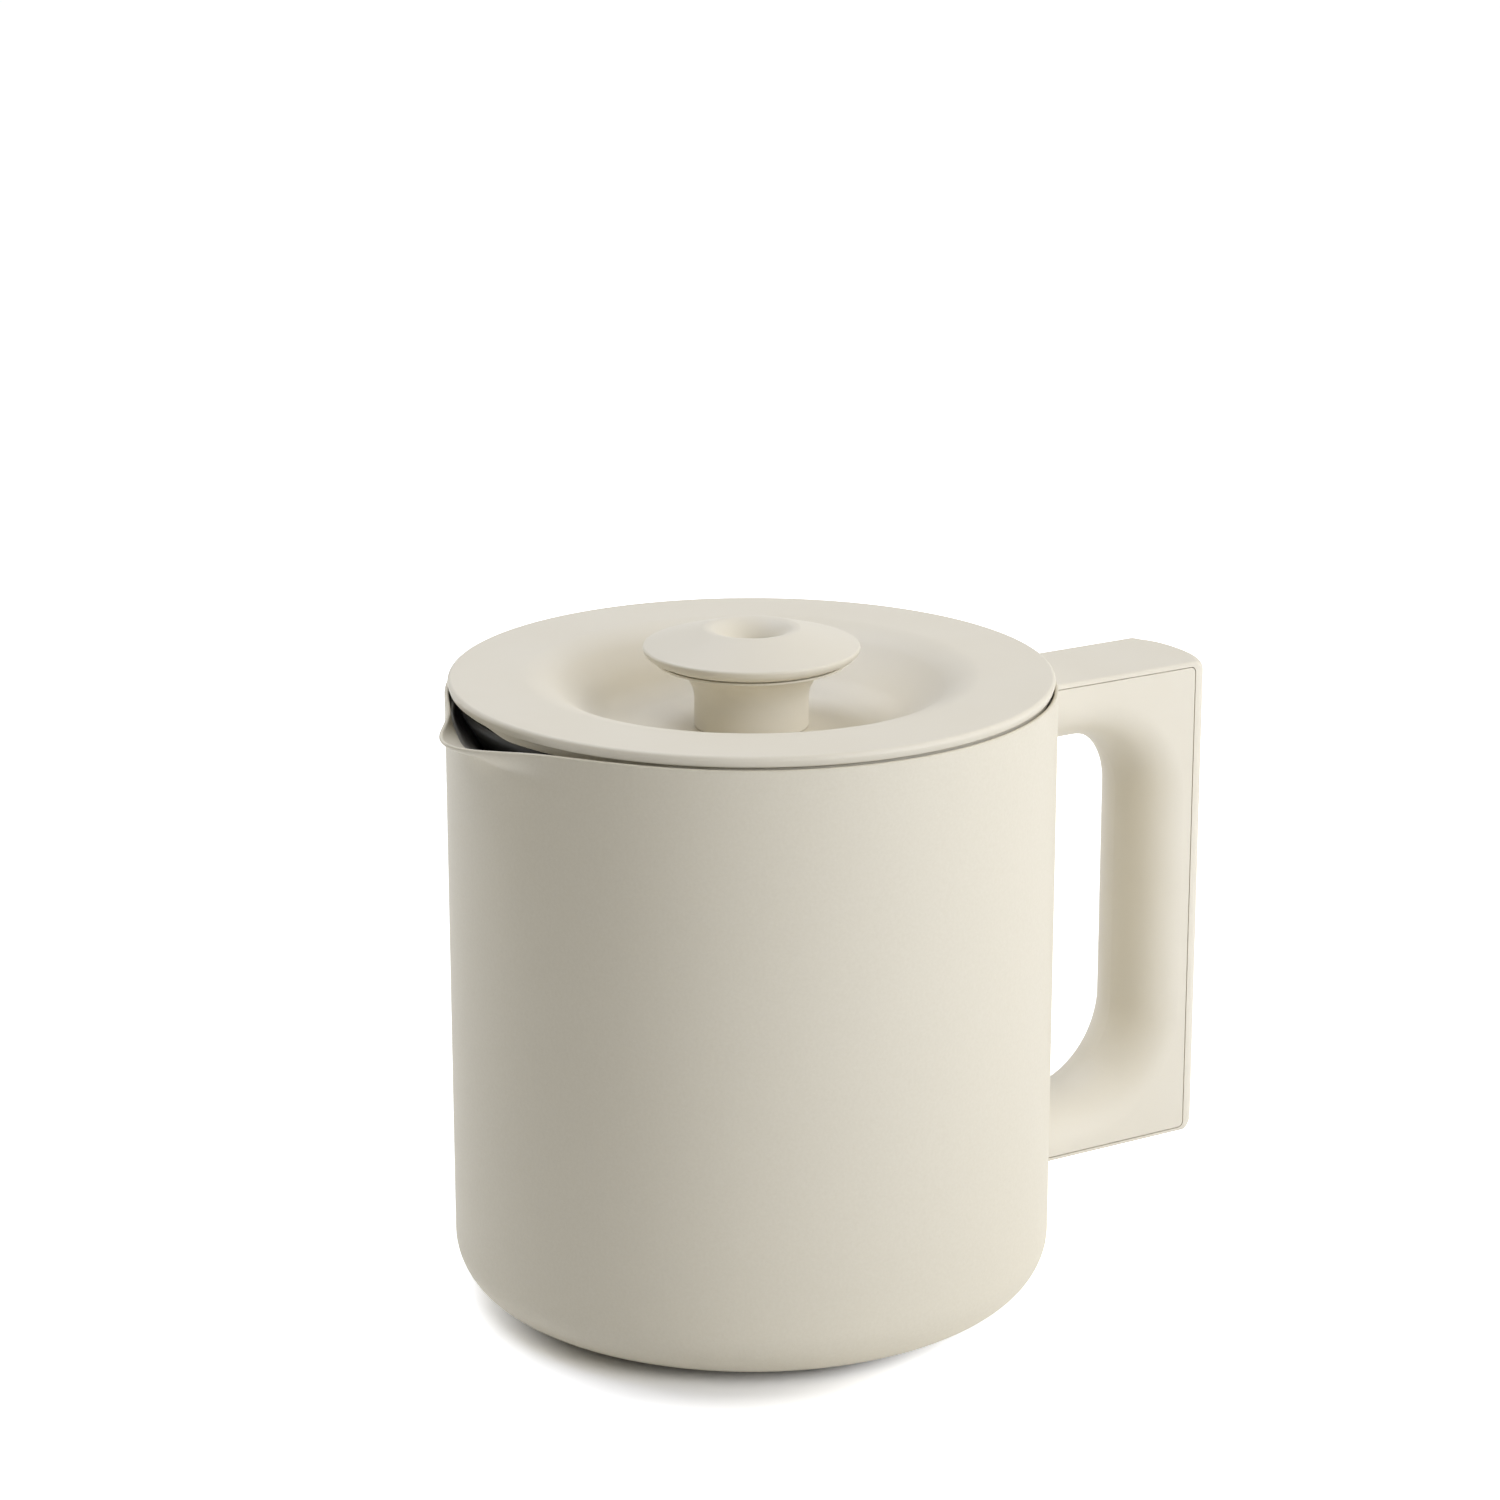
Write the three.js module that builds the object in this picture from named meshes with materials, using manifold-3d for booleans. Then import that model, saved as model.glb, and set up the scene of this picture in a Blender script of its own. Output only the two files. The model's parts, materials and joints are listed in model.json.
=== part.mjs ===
// A round thermal carafe: a double-walled steel vessel with a pinched pouring lip, a loop handle screwed to
// welded brackets under a cover strap, and a lift-off lid with a brew-through knob.
// Millimetres, +Z up. The origin is the middle of the foot on the table, the handle points along +X and the
// spout along -X, so Y = 0 is the plane of symmetry.
import * as THREE from "three";
import { mergeVertices } from "three/addons/utils/BufferGeometryUtils.js";
import Module from "manifold-3d";

const wasm = await Module();
wasm.setup();
const { degToRad, smoothstep } = THREE.MathUtils;

// Steel vessel
const BODY_R = 70; // outside of the shell at the rim
const BODY_DRAFT = 0.2; // how much narrower the shell is at its base
const BODY_HEIGHT = 143.5; // underside of the shell to the rim
const SHELL_WALL = 1;
const BASE_ROUND = 12.4; // large rounded edge at the base
const LIP_ROUND = 0.35;
const LINER_WALL = 0.8;
const WELD_GAP = 0.5; // shell to liner where they are welded below the lip
const VACUUM_GAP = 4.2; // shell to liner along the side
const VACUUM_FLOOR = 6; // base plate to liner
const LINER_ROUND = 15; // inner edge of the liner's floor
const NECK_INSET = 8; // rim to neck, along the radius
const NECK_LENGTH = 21.5;
const SHOULDER_HEIGHT = 6; // neck to the wider lower liner

// Pouring lip, pinched out of both walls opposite the handle
const SPOUT_REACH = 9.1; // tip beyond the round rim
const SPOUT_DIP = 1.4; // tip below the round rim
const SPOUT_FALL = 7.5; // height over which the walls swell out into the lip
const SPOUT_SPREAD = degToRad(11.1); // angle at which the pinch has dropped to 1/e
const DIP_SPREAD = degToRad(16.7); // the same for the dip
const FLARE_STEPS = 4; // rings through the swell
const COLLAR_STEPS = 5; // rings from the liner's neck out to its collar
const CHANNEL_STEPS = 2; // rings where the pouring channel fades into the neck
const CHANNEL_FULL = 5; // how far below the neck's top the channel has its full depth

// Base
const FOOT_PROUD = 0.8; // foot below the shell
const BASE_OPENING_R = 52.5;
const BASE_PLATE_SHEET = 1;
const BASE_PLATE_DEPTH = 2.8; // turned-down rim of the base plate
const BASE_CLEARANCE = 0.3;
const FOOT_EDGE = 0.5;
const EVACUATION_R = 2; // hole that the vacuum was drawn through
const SEAL_R = 7.5;
const SEAL_SHEET = 1;
const SEAL_PIN = 0.9; // pin of the seal in the evacuation hole
const GETTER_R = 7;
const GETTER_HEIGHT = 2;

// Lid
const LID_INSET = 0.7; // lid edge inside the body's outline
const LID_GAP = 0.35; // dark line between rim and lid
const LID_EDGE = 2.55; // height of the lid's side band
const LID_EDGE_ROUND = 0.9;
const LID_SHEET = 2.2;
const TRIM_INSET = 0.7; // edge of the trim ring inside the lid's edge
const TRIM_HEIGHT = 1.6;
const TRIM_WIDTH = 3.2;
const LID_SEAM = 0.25; // groove between the lid's edge and the trim ring
const BOWL_R = 52.5; // where the flat ring turns down into the bowl
const BOWL_DEPTH = 12.4;
const BOWL_BEND_R = 14; // bend at the top and at the bottom of the bowl's wall
const BOWL_SLOPE = degToRad(38);
const PLUG_CLEARANCE = 1; // plug to neck
const PLUG_WALL = 1.8;
const PLUG_DROP = 12; // underside of the plug below the top of the neck
const PLUG_FLOOR = 2.2;
const PLUG_EDGE = 0.8;
const BOSS_WALL = 3; // spacer round the knob's spigot
const GASKET_HEIGHT = 4.4;
const GASKET_LIP = 0.8; // half the height of each lip
const GASKET_DEPTH = 2.4; // groove depth in the plug's wall
const GASKET_RISE = 3.6; // groove above the plug's underside
const GASKET_CLEARANCE = 0.35; // to the neck and to its groove

// Knob with the brew-through funnel
const STEM_R = 13.1;
const STEM_WALL = 2.3;
const FLARE_R = 8.9; // hollow curve from the stem out to the cap
const FLANGE_EDGE = 0.5;
const HOLLOW_DEPTH = 5.9; // hollow in the top of the stem
const CAP_R = 24.9;
const CAP_EDGE = 2.9; // height of the cap's rounded side
const CAP_UNDERCUT = 2.9; // cap's lower edge inside its widest circle
const CAP_SOFTENING = 0.3; // rounding between the cap's side and its cone
const CAP_SEAM = 0.3;
const CAP_ABOVE_LID = 3.5; // cap's lower edge above the lid's flat ring
const CAP_RISE = 4.4; // cone from the cap's edge up to the funnel
const CAP_SHEET = 2.4;
const CAP_RIB = 2; // width of the cap's seat on the stem
const FUNNEL_R = 10.2;
const FUNNEL_DEPTH = 7.6;
const FUNNEL_BEND_IN = 5; // where the two slopes of the funnel's horn curve meet, from its rim
const FUNNEL_BEND_DOWN = 2.6;
const DRIP_R = 3.8; // the hole that coffee drips through
const TUBE_WALL = 2.1;
const TUBE_CLEARANCE = 0.3;
const TUBE_FLANGE = 2.4;
const TUBE_FLANGE_HEIGHT = 1.5;
const TUBE_BELOW_SPIGOT = 10;
const SPIGOT_WALL = 2.6;
const SPIGOT_BELOW_NUT = 1;
const NUT_HEIGHT = 6;
const NUT_WALL = 5.5;
const NUT_LOBES = 6;
const NUT_LOBE_DEPTH = 1;
const RING_SECTION_R = 0.75; // section of the tube's sealing ring
const RING_RISE = 4; // sealing ring above the spigot's lower end
const SEAT_GAP = 0.1; // between pieces that are clamped face to face

// Handle
const HANDLE_WIDTH = 27.4;
const HANDLE_TOP_DROP = 8.3; // top of the handle below the rim
const HANDLE_BOTTOM_Z = 15.95; // underside of the handle above the table
const HANDLE_REACH = 47.1; // body to the seam along the back
const HANDLE_CROWN = 6; // how far the cover's back swells beyond that seam
const CROWN_FULLNESS = 2; // 2 is a plain ellipse, more has tighter corners
const CROWN_STEPS = 16;
const COVER_SHEET = 1.05; // cover strap along the arms
const COVER_EDGE_ROUND = 0.9;
const COVER_EDGE_STEPS = 2;
const COVER_CORNER_R = 3.2;
const SEAM_CORNER_R = 1.5;
const COVER_SEAM = 0.25;
const HANDLE_CLEARANCE = 0.3; // to the curved shell
const FINGER_REACH = 34; // body to the inner side of the bar
const UPPER_ARM = 15.05; // depth of the grip's upper arm
const LOWER_ARM = 11.7; // depth of the grip's lower arm
const GRIP_ROUND = 10.6; // depth of the half-elliptic rounding on the inner side
const GRIP_STEPS = 10; // facets round that half ellipse
const UPPER_CORNER_R = 17.4;
const LOWER_CORNER_R = 19.6;
const CORNER_STEPS = 4; // stations on each half of a corner

// Brackets that are welded to the shell, and their screws
const BRACKET_SHEET = 2;
const BRACKET_WIDTH = 14;
const BRACKET_LENGTH = 22;
const BRACKET_GAP = 0.25;
const UPPER_TAB_DROP = 7.2; // middle of the tab, from the grip's outer face
const LOWER_TAB_DROP = 5.2;
const BRACKET_FLANGE = 7; // height of the flange against the shell
const POCKET_CLEARANCE = 0.3;
const SCREW_R = 1.5;
const SCREW_HEAD_R = 2.8;
const SCREW_HEAD = 2;
const SCREW_SOCKET_R = 1.3;
const SCREW_SOCKET = 1.1;
const SCREW_CLEARANCE = 0.3;
const SCREW_SUNK = 0.35; // head below the grip's face
const SCREW_PAST_TAB = 1.2;
const SCREW_INNER = 8; // screws along the arm, from the body
const SCREW_OUTER = 17;

// Facets
const VESSEL_SIDES = 64;
const VESSEL_CROWDING = 0.6; // draws the vessel's facets together at the spout
const LID_SIDES = 44;
const PLUG_SIDES = 36;
const KNOB_SIDES = 32;
const SMALL_SIDES = 16;
const SCREW_SIDES = 12;
const HEX_SIDES = 6;
const CUT_SIDES = 96;
const BEND_STEPS = 4;
const BOWL_STEPS = 3;
const HIDDEN_STEPS = 2; // bends that only show from inside
const FUNNEL_STEPS = 5;

// Places that several pieces share
const SHELL_Z = FOOT_PROUD;
const RIM_Z = SHELL_Z + BODY_HEIGHT;
const SHELL_IN_R = BODY_R - SHELL_WALL;
const COLLAR_R = SHELL_IN_R - WELD_GAP - LINER_WALL;
const NECK_R = BODY_R - NECK_INSET;
const LINER_R = SHELL_IN_R - VACUUM_GAP - LINER_WALL;
const FLARE_STEP = SPOUT_FALL / FLARE_STEPS;
const LINER_TOP_Z = RIM_Z - FLARE_STEP;
const COLLAR_Z = LINER_TOP_Z - FLARE_STEP;
const NECK_Z = COLLAR_Z - COLLAR_STEPS * FLARE_STEP;
const SHOULDER_Z = NECK_Z - NECK_LENGTH;
const BASE_PLATE_Z = SHELL_Z + BASE_PLATE_DEPTH;
const PLATE_UNDER_Z = BASE_PLATE_Z - BASE_PLATE_SHEET;
const PLATE_R = BASE_OPENING_R - BASE_CLEARANCE;
const LINER_UNDER_Z = BASE_PLATE_Z + VACUUM_FLOOR;
const LID_R = BODY_R - LID_INSET;
const LID_UNDER_Z = RIM_Z + LID_GAP;
const LID_Z = LID_UNDER_Z + LID_EDGE;
const BOWL_Z = LID_Z - BOWL_DEPTH;
const TRIM_TOP_Z = LID_UNDER_Z - LID_SEAM;
const TRIM_Z = TRIM_TOP_Z - TRIM_HEIGHT;
const PLUG_R = NECK_R - PLUG_CLEARANCE;
const PLUG_Z = NECK_Z - PLUG_DROP;
const GROOVE_Z = PLUG_Z + GASKET_RISE;
const GROOVE_TOP_Z = GROOVE_Z + GASKET_HEIGHT + 2 * GASKET_CLEARANCE;
const GROOVE_R = PLUG_R - GASKET_DEPTH;
const CAP_Z = LID_Z + CAP_ABOVE_LID;
const CAP_TOP_Z = CAP_Z + CAP_EDGE + CAP_RISE;
const FLANGE_Z = CAP_Z - CAP_SEAM;
const FLANGE_R = CAP_R - CAP_UNDERCUT;
const STEM_FLOOR_Z = FLANGE_Z - HOLLOW_DEPTH;
const TUBE_R = DRIP_R + TUBE_WALL;
const BORE_R = TUBE_R + TUBE_CLEARANCE;
const SPIGOT_R = BORE_R + SPIGOT_WALL;
const SPIGOT_HOLE_R = SPIGOT_R + TUBE_CLEARANCE;
const NUT_TOP_Z = PLUG_Z - SEAT_GAP;
const NUT_Z = NUT_TOP_Z - NUT_HEIGHT;
const SPIGOT_Z = NUT_Z - SPIGOT_BELOW_NUT;
const TUBE_TOP_Z = STEM_FLOOR_Z + SEAT_GAP + TUBE_FLANGE_HEIGHT;
const RING_Z = SPIGOT_Z + RING_RISE;
const HALF_WIDTH = HANDLE_WIDTH / 2;
const HANDLE_TOP_Z = RIM_Z - HANDLE_TOP_DROP;
const SEAM_TOP_Z = HANDLE_TOP_Z - COVER_SHEET;
const SEAM_BOTTOM_Z = HANDLE_BOTTOM_Z + COVER_SHEET;
const SEAM_X = BODY_R + HANDLE_REACH;
const GRIP_TOP_Z = SEAM_TOP_Z - COVER_SEAM;
const GRIP_BOTTOM_Z = SEAM_BOTTOM_Z + COVER_SEAM;
const GRIP_X = SEAM_X - COVER_SEAM;
const BAR_X = BODY_R + FINGER_REACH;
const ARM_START_X = BODY_R - NECK_INSET; // the arms are drawn from inside the shell and cut back to it

const CREAM = { color: 0xe3ded0, roughness: 0.55, metalness: 0 };
const FINISHES = {
  powderCoat: new THREE.MeshStandardMaterial(CREAM),
  creamPlastic: new THREE.MeshStandardMaterial({ ...CREAM, roughness: 0.45 }),
  steel: new THREE.MeshStandardMaterial({ color: 0xb9bbbc, roughness: 0.35, metalness: 1 }),
  greySilicone: new THREE.MeshStandardMaterial({ color: 0x6b6964, roughness: 0.8, metalness: 0 }),
  darkPlastic: new THREE.MeshStandardMaterial({ color: 0x34332f, roughness: 0.5, metalness: 0 }),
};

const carafe = new THREE.Group();
carafe.name = "thermal_carafe";

// Adds one named piece to the carafe.
function piece(name, geometry, finish) {
  geometry.computeVertexNormals();
  const mesh = new THREE.Mesh(geometry, finish);
  mesh.name = name;
  carafe.add(mesh);
}

// Spins an outline of [radius, height] points about Z. An outline runs up its outer side and down its inner one.
function spin(outline, sides) {
  const points = outline.map(([r, z]) => new THREE.Vector2(r, z));
  return new THREE.LatheGeometry(points, sides).rotateX(Math.PI / 2);
}

// Spins an outline that closes on itself, away from the axis.
function spinRing(outline, sides) {
  return spin([...outline, outline[0]], sides);
}

// Points of an arc in the radius and height plane, both ends included.
function arc(r, z, radius, from, to, steps = BEND_STEPS) {
  return Array.from({ length: steps + 1 }, (_, i) => {
    const angle = degToRad(from + ((to - from) * i) / steps);
    return [r + radius * Math.cos(angle), z + radius * Math.sin(angle)];
  });
}

// Heights from one level to another in equal steps, both ends included.
function levels(from, to, steps) {
  return Array.from({ length: steps + 1 }, (_, i) => from + ((to - from) * i) / steps);
}

function solidOf(geometry) {
  const bare = geometry.clone();
  bare.deleteAttribute("normal");
  bare.deleteAttribute("uv");
  const merged = mergeVertices(bare);
  const vertProperties = new Float32Array(merged.attributes.position.array);
  const triVerts = new Uint32Array(merged.index.array);
  return new wasm.Manifold(new wasm.Mesh({ numProp: 3, vertProperties, triVerts }));
}

function geometryOf(solid) {
  const mesh = solid.getMesh();
  const geometry = new THREE.BufferGeometry();
  geometry.setAttribute("position", new THREE.BufferAttribute(mesh.vertProperties, 3));
  geometry.setIndex(new THREE.BufferAttribute(mesh.triVerts, 1));
  return geometry;
}

function cut(geometry, ...tools) {
  return geometryOf(tools.reduce((left, tool) => left.subtract(solidOf(tool)), solidOf(geometry)));
}

function common(first, second) {
  return geometryOf(solidOf(first).intersect(solidOf(second)));
}

function box(x0, x1, y0, y1, z0, z1) {
  const geometry = new THREE.BoxGeometry(x1 - x0, y1 - y0, z1 - z0);
  return geometry.translate((x0 + x1) / 2, (y0 + y1) / 2, (z0 + z1) / 2);
}

// Upright cylinder between two heights.
function post(x, radius, z0, z1, sides) {
  const geometry = new THREE.CylinderGeometry(radius, radius, z1 - z0, sides).rotateX(Math.PI / 2);
  return geometry.translate(x, 0, (z0 + z1) / 2);
}

// Extrudes an outline drawn in the X and Z plane across Y, to both sides of the plane of symmetry.
function extrudeAcross(shape, width) {
  const geometry = new THREE.ExtrudeGeometry(shape, { depth: width, bevelEnabled: false, curveSegments: BEND_STEPS });
  return geometry.rotateX(Math.PI / 2).translate(0, width / 2, 0);
}

// Space taken by the round shell, with a clearance.
function shellSpace(clearance) {
  return post(0, BODY_R + clearance, -BODY_HEIGHT, 2 * BODY_HEIGHT, CUT_SIDES);
}

// Pouring lip. The pinch follows a bell curve round the rim, and the walls swell into it along an S curve.
function swell(z) {
  return smoothstep(z, RIM_Z - SPOUT_FALL, RIM_Z);
}

function shellReach(z) {
  return SPOUT_REACH * swell(z);
}

// Bell curve round the rim, 1 at the lip's tip and 1/e at the spread.
function bell(angle, spread) {
  return Math.exp(-((angle / spread) ** 2));
}

// Inner radius of the round liner at a height.
function linerRadius(z) {
  const collar = (COLLAR_R - NECK_R) * smoothstep(z, NECK_Z, COLLAR_Z);
  const belly = (LINER_R - NECK_R) * (1 - smoothstep(z, SHOULDER_Z - SHOULDER_HEIGHT, SHOULDER_Z));
  return NECK_R + collar + belly;
}

// The liner follows the shell's lip, and below it keeps a pouring channel open past the lid's gasket.
function linerReach(z) {
  const channel = smoothstep(z, SHOULDER_Z, NECK_Z - CHANNEL_FULL);
  return shellReach(z) + (COLLAR_R - linerRadius(z)) * channel;
}

// Moves the points of a spun wall out and down into the pouring lip and draws its facets together there.
function pinch(geometry, reach) {
  const place = geometry.attributes.position;
  for (let i = 0; i < place.count; i += 1) {
    const z = place.getZ(i);
    const even = Math.atan2(place.getY(i), -place.getX(i));
    const angle = even - VESSEL_CROWDING * Math.sin(even);
    const radius = Math.hypot(place.getX(i), place.getY(i)) + reach(z) * bell(angle, SPOUT_SPREAD);
    const dip = SPOUT_DIP * swell(z) * bell(angle, DIP_SPREAD);
    place.setXYZ(i, -radius * Math.cos(angle), radius * Math.sin(angle), z - dip);
  }
  return geometry;
}

function outerShell() {
  const baseR = BODY_R - BODY_DRAFT - BASE_ROUND;
  const roundZ = SHELL_Z + BASE_ROUND;
  const flare = levels(RIM_Z - SPOUT_FALL, RIM_Z - FLARE_STEP, FLARE_STEPS - 1);
  const outline = [
    [BASE_OPENING_R, SHELL_Z],
    ...arc(baseR, roundZ, BASE_ROUND, -90, 0),
    ...flare.map((z) => [BODY_R, z]),
    [BODY_R, RIM_Z - LIP_ROUND],
    [BODY_R - LIP_ROUND, RIM_Z],
    [SHELL_IN_R + LIP_ROUND, RIM_Z],
    [SHELL_IN_R, RIM_Z - LIP_ROUND],
    ...flare.reverse().map((z) => [SHELL_IN_R, z]),
    ...arc(baseR, roundZ, BASE_ROUND - SHELL_WALL, 0, -90),
    [BASE_OPENING_R, SHELL_Z + SHELL_WALL],
  ];
  return pinch(spinRing(outline, VESSEL_SIDES), shellReach);
}

function innerLiner() {
  const floorZ = LINER_UNDER_Z + LINER_WALL;
  const roundR = LINER_R - LINER_ROUND;
  const roundZ = floorZ + LINER_ROUND;
  const wall = [
    SHOULDER_Z - SHOULDER_HEIGHT,
    ...levels(SHOULDER_Z, NECK_Z - CHANNEL_FULL, CHANNEL_STEPS),
    ...levels(NECK_Z, COLLAR_Z, COLLAR_STEPS),
    LINER_TOP_Z,
  ];
  const outline = [
    [0, LINER_UNDER_Z],
    ...arc(roundR, roundZ, LINER_ROUND + LINER_WALL, -90, 0, BOWL_STEPS),
    ...wall.map((z) => [linerRadius(z) + LINER_WALL, z]),
    ...wall.reverse().map((z) => [linerRadius(z), z]),
    ...arc(roundR, roundZ, LINER_ROUND, 0, -90, BOWL_STEPS),
    [0, floorZ],
  ];
  return pinch(spin(outline, VESSEL_SIDES), linerReach);
}

function basePlate() {
  const outline = [
    [PLATE_R, SHELL_Z],
    [PLATE_R, BASE_PLATE_Z],
    [EVACUATION_R, BASE_PLATE_Z],
    [EVACUATION_R, PLATE_UNDER_Z],
    [PLATE_R - BASE_PLATE_SHEET, PLATE_UNDER_Z],
    [PLATE_R - BASE_PLATE_SHEET, SHELL_Z],
  ];
  return spinRing(outline, PLUG_SIDES);
}

function vacuumSeal() {
  const top = PLATE_UNDER_Z - SEAT_GAP;
  const pinR = EVACUATION_R - BASE_CLEARANCE;
  const outline = [
    [0, top - SEAL_SHEET],
    [SEAL_R, top - SEAL_SHEET],
    [SEAL_R, top],
    [pinR, top],
    [pinR, top + SEAL_PIN],
    [0, top + SEAL_PIN],
  ];
  return spin(outline, SMALL_SIDES);
}

function getter() {
  const top = LINER_UNDER_Z - SEAT_GAP;
  return post(0, GETTER_R, top - GETTER_HEIGHT, top, SMALL_SIDES);
}

// Soft foot in the base plate's pan, with a recess for the vacuum seal.
function baseFoot() {
  const footR = PLATE_R - BASE_PLATE_SHEET - BASE_CLEARANCE;
  const top = PLATE_UNDER_Z - SEAT_GAP;
  const recessR = SEAL_R + BASE_CLEARANCE;
  const recessZ = top - SEAL_SHEET - BASE_CLEARANCE;
  const outline = [
    [0, 0],
    [footR - FOOT_EDGE, 0],
    [footR, FOOT_EDGE],
    [footR, top],
    [recessR, top],
    [recessR, recessZ],
    [0, recessZ],
  ];
  return spin(outline, PLUG_SIDES);
}

// The lid's bowl from its rim to its floor, on the upper face or set back by the sheet's thickness.
function bowlSide(offset, steps) {
  const slope = THREE.MathUtils.radToDeg(BOWL_SLOPE);
  const bendDrop = BOWL_BEND_R * (1 - Math.cos(BOWL_SLOPE));
  const bendRun = BOWL_BEND_R * Math.sin(BOWL_SLOPE);
  const straightRun = (BOWL_DEPTH - 2 * bendDrop) / Math.tan(BOWL_SLOPE);
  const floorR = BOWL_R - 2 * bendRun - straightRun;
  const crest = arc(BOWL_R, LID_Z - BOWL_BEND_R, BOWL_BEND_R - offset, 90, 90 + slope, steps);
  const foot = arc(floorR, BOWL_Z + BOWL_BEND_R, BOWL_BEND_R + offset, slope - 90, -90, steps);
  return [...crest, ...foot];
}

function lidTop() {
  const skirtR = LID_R - LID_SHEET;
  const outline = [
    [LID_R, LID_UNDER_Z],
    ...arc(LID_R - LID_EDGE_ROUND, LID_Z - LID_EDGE_ROUND, LID_EDGE_ROUND, 0, 90, 2),
    ...bowlSide(0, BOWL_STEPS),
    [SPIGOT_HOLE_R, BOWL_Z],
    [SPIGOT_HOLE_R, BOWL_Z - LID_SHEET],
    ...bowlSide(LID_SHEET, HIDDEN_STEPS).reverse(),
    [skirtR, LID_Z - LID_SHEET],
    [skirtR, LID_UNDER_Z],
  ];
  return spinRing(outline, LID_SIDES);
}

// Thin ring between the lid's edge and the plug, the light line that shows inside the pouring lip.
function lidTrimRing() {
  const edgeR = LID_R - TRIM_INSET;
  const outline = [
    [edgeR - TRIM_WIDTH, TRIM_Z],
    [edgeR, TRIM_Z],
    [edgeR, TRIM_TOP_Z],
    [edgeR - TRIM_WIDTH, TRIM_TOP_Z],
  ];
  return spinRing(outline, LID_SIDES);
}

// Lower moulding: a plug that follows the liner's collar down into the neck, with a groove for the gasket.
function lidBase() {
  const topZ = TRIM_Z - SEAT_GAP;
  const collar = [...levels(NECK_Z, COLLAR_Z, COLLAR_STEPS), topZ];
  const wallR = (z) => linerRadius(z) - PLUG_CLEARANCE;
  const floorZ = PLUG_Z + PLUG_FLOOR;
  const bossR = SPIGOT_HOLE_R + BOSS_WALL;
  const bossZ = BOWL_Z - LID_SHEET - SEAT_GAP;
  const innerR = GROOVE_R - PLUG_WALL;
  const outline = [
    [SPIGOT_HOLE_R, PLUG_Z],
    [PLUG_R - PLUG_EDGE, PLUG_Z],
    [PLUG_R, PLUG_Z + PLUG_EDGE],
    [PLUG_R, GROOVE_Z],
    [GROOVE_R, GROOVE_Z],
    [GROOVE_R, GROOVE_TOP_Z],
    [PLUG_R, GROOVE_TOP_Z],
    ...collar.map((z) => [wallR(z), z]),
    [wallR(COLLAR_Z) - PLUG_WALL, topZ],
    [wallR(COLLAR_Z) - PLUG_WALL, COLLAR_Z],
    [PLUG_R - PLUG_WALL, NECK_Z],
    [innerR, GROOVE_TOP_Z],
    [innerR, floorZ],
    [bossR, floorZ],
    [bossR, bossZ],
    [SPIGOT_HOLE_R, bossZ],
  ];
  return spinRing(outline, PLUG_SIDES);
}

// Soft ring with two lips that wipe the neck.
function lidGasket() {
  const innerR = GROOVE_R + GASKET_CLEARANCE;
  const lipR = NECK_R - GASKET_CLEARANCE;
  const bottom = GROOVE_Z + GASKET_CLEARANCE;
  const top = bottom + GASKET_HEIGHT;
  const outline = [
    [innerR, bottom],
    [PLUG_R, bottom],
    [lipR, bottom + GASKET_LIP],
    [PLUG_R, bottom + 2 * GASKET_LIP],
    [PLUG_R, top - 2 * GASKET_LIP],
    [lipR, top - GASKET_LIP],
    [PLUG_R, top],
    [innerR, top],
  ];
  return spinRing(outline, PLUG_SIDES);
}

// Stem that swells out under the cap, with a spigot that passes through both lid mouldings.
function knobStem() {
  const curveZ = FLANGE_Z - FLANGE_EDGE - FLARE_R;
  const curveR = STEM_R + FLARE_R;
  const hollowR = FLARE_R + STEM_WALL;
  const hollowFrom = 180 - THREE.MathUtils.radToDeg(Math.asin((FLANGE_Z - curveZ) / hollowR));
  const hollowTo = 180 - THREE.MathUtils.radToDeg(Math.asin((STEM_FLOOR_Z - curveZ) / hollowR));
  const outline = [
    [BORE_R, SPIGOT_Z],
    [SPIGOT_R, SPIGOT_Z],
    [SPIGOT_R, BOWL_Z + SEAT_GAP],
    [STEM_R, BOWL_Z + SEAT_GAP],
    ...arc(curveR, curveZ, FLARE_R, 180, 90),
    [FLANGE_R, FLANGE_Z - FLANGE_EDGE / 2],
    [FLANGE_R, FLANGE_Z],
    ...arc(curveR, curveZ, hollowR, hollowFrom, hollowTo, 2),
    [BORE_R, STEM_FLOOR_Z],
  ];
  return spinRing(outline, KNOB_SIDES);
}

// Horn-shaped funnel from the cap's rim down to the drip hole.
function funnelCurve() {
  const rim = new THREE.Vector2(FUNNEL_R, CAP_TOP_Z);
  const bend = new THREE.Vector2(FUNNEL_R - FUNNEL_BEND_IN, CAP_TOP_Z - FUNNEL_BEND_DOWN);
  const throat = new THREE.Vector2(DRIP_R, CAP_TOP_Z - FUNNEL_DEPTH);
  return new THREE.QuadraticBezierCurve(rim, bend, throat).getPoints(FUNNEL_STEPS).map(({ x, y }) => [x, y]);
}

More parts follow.
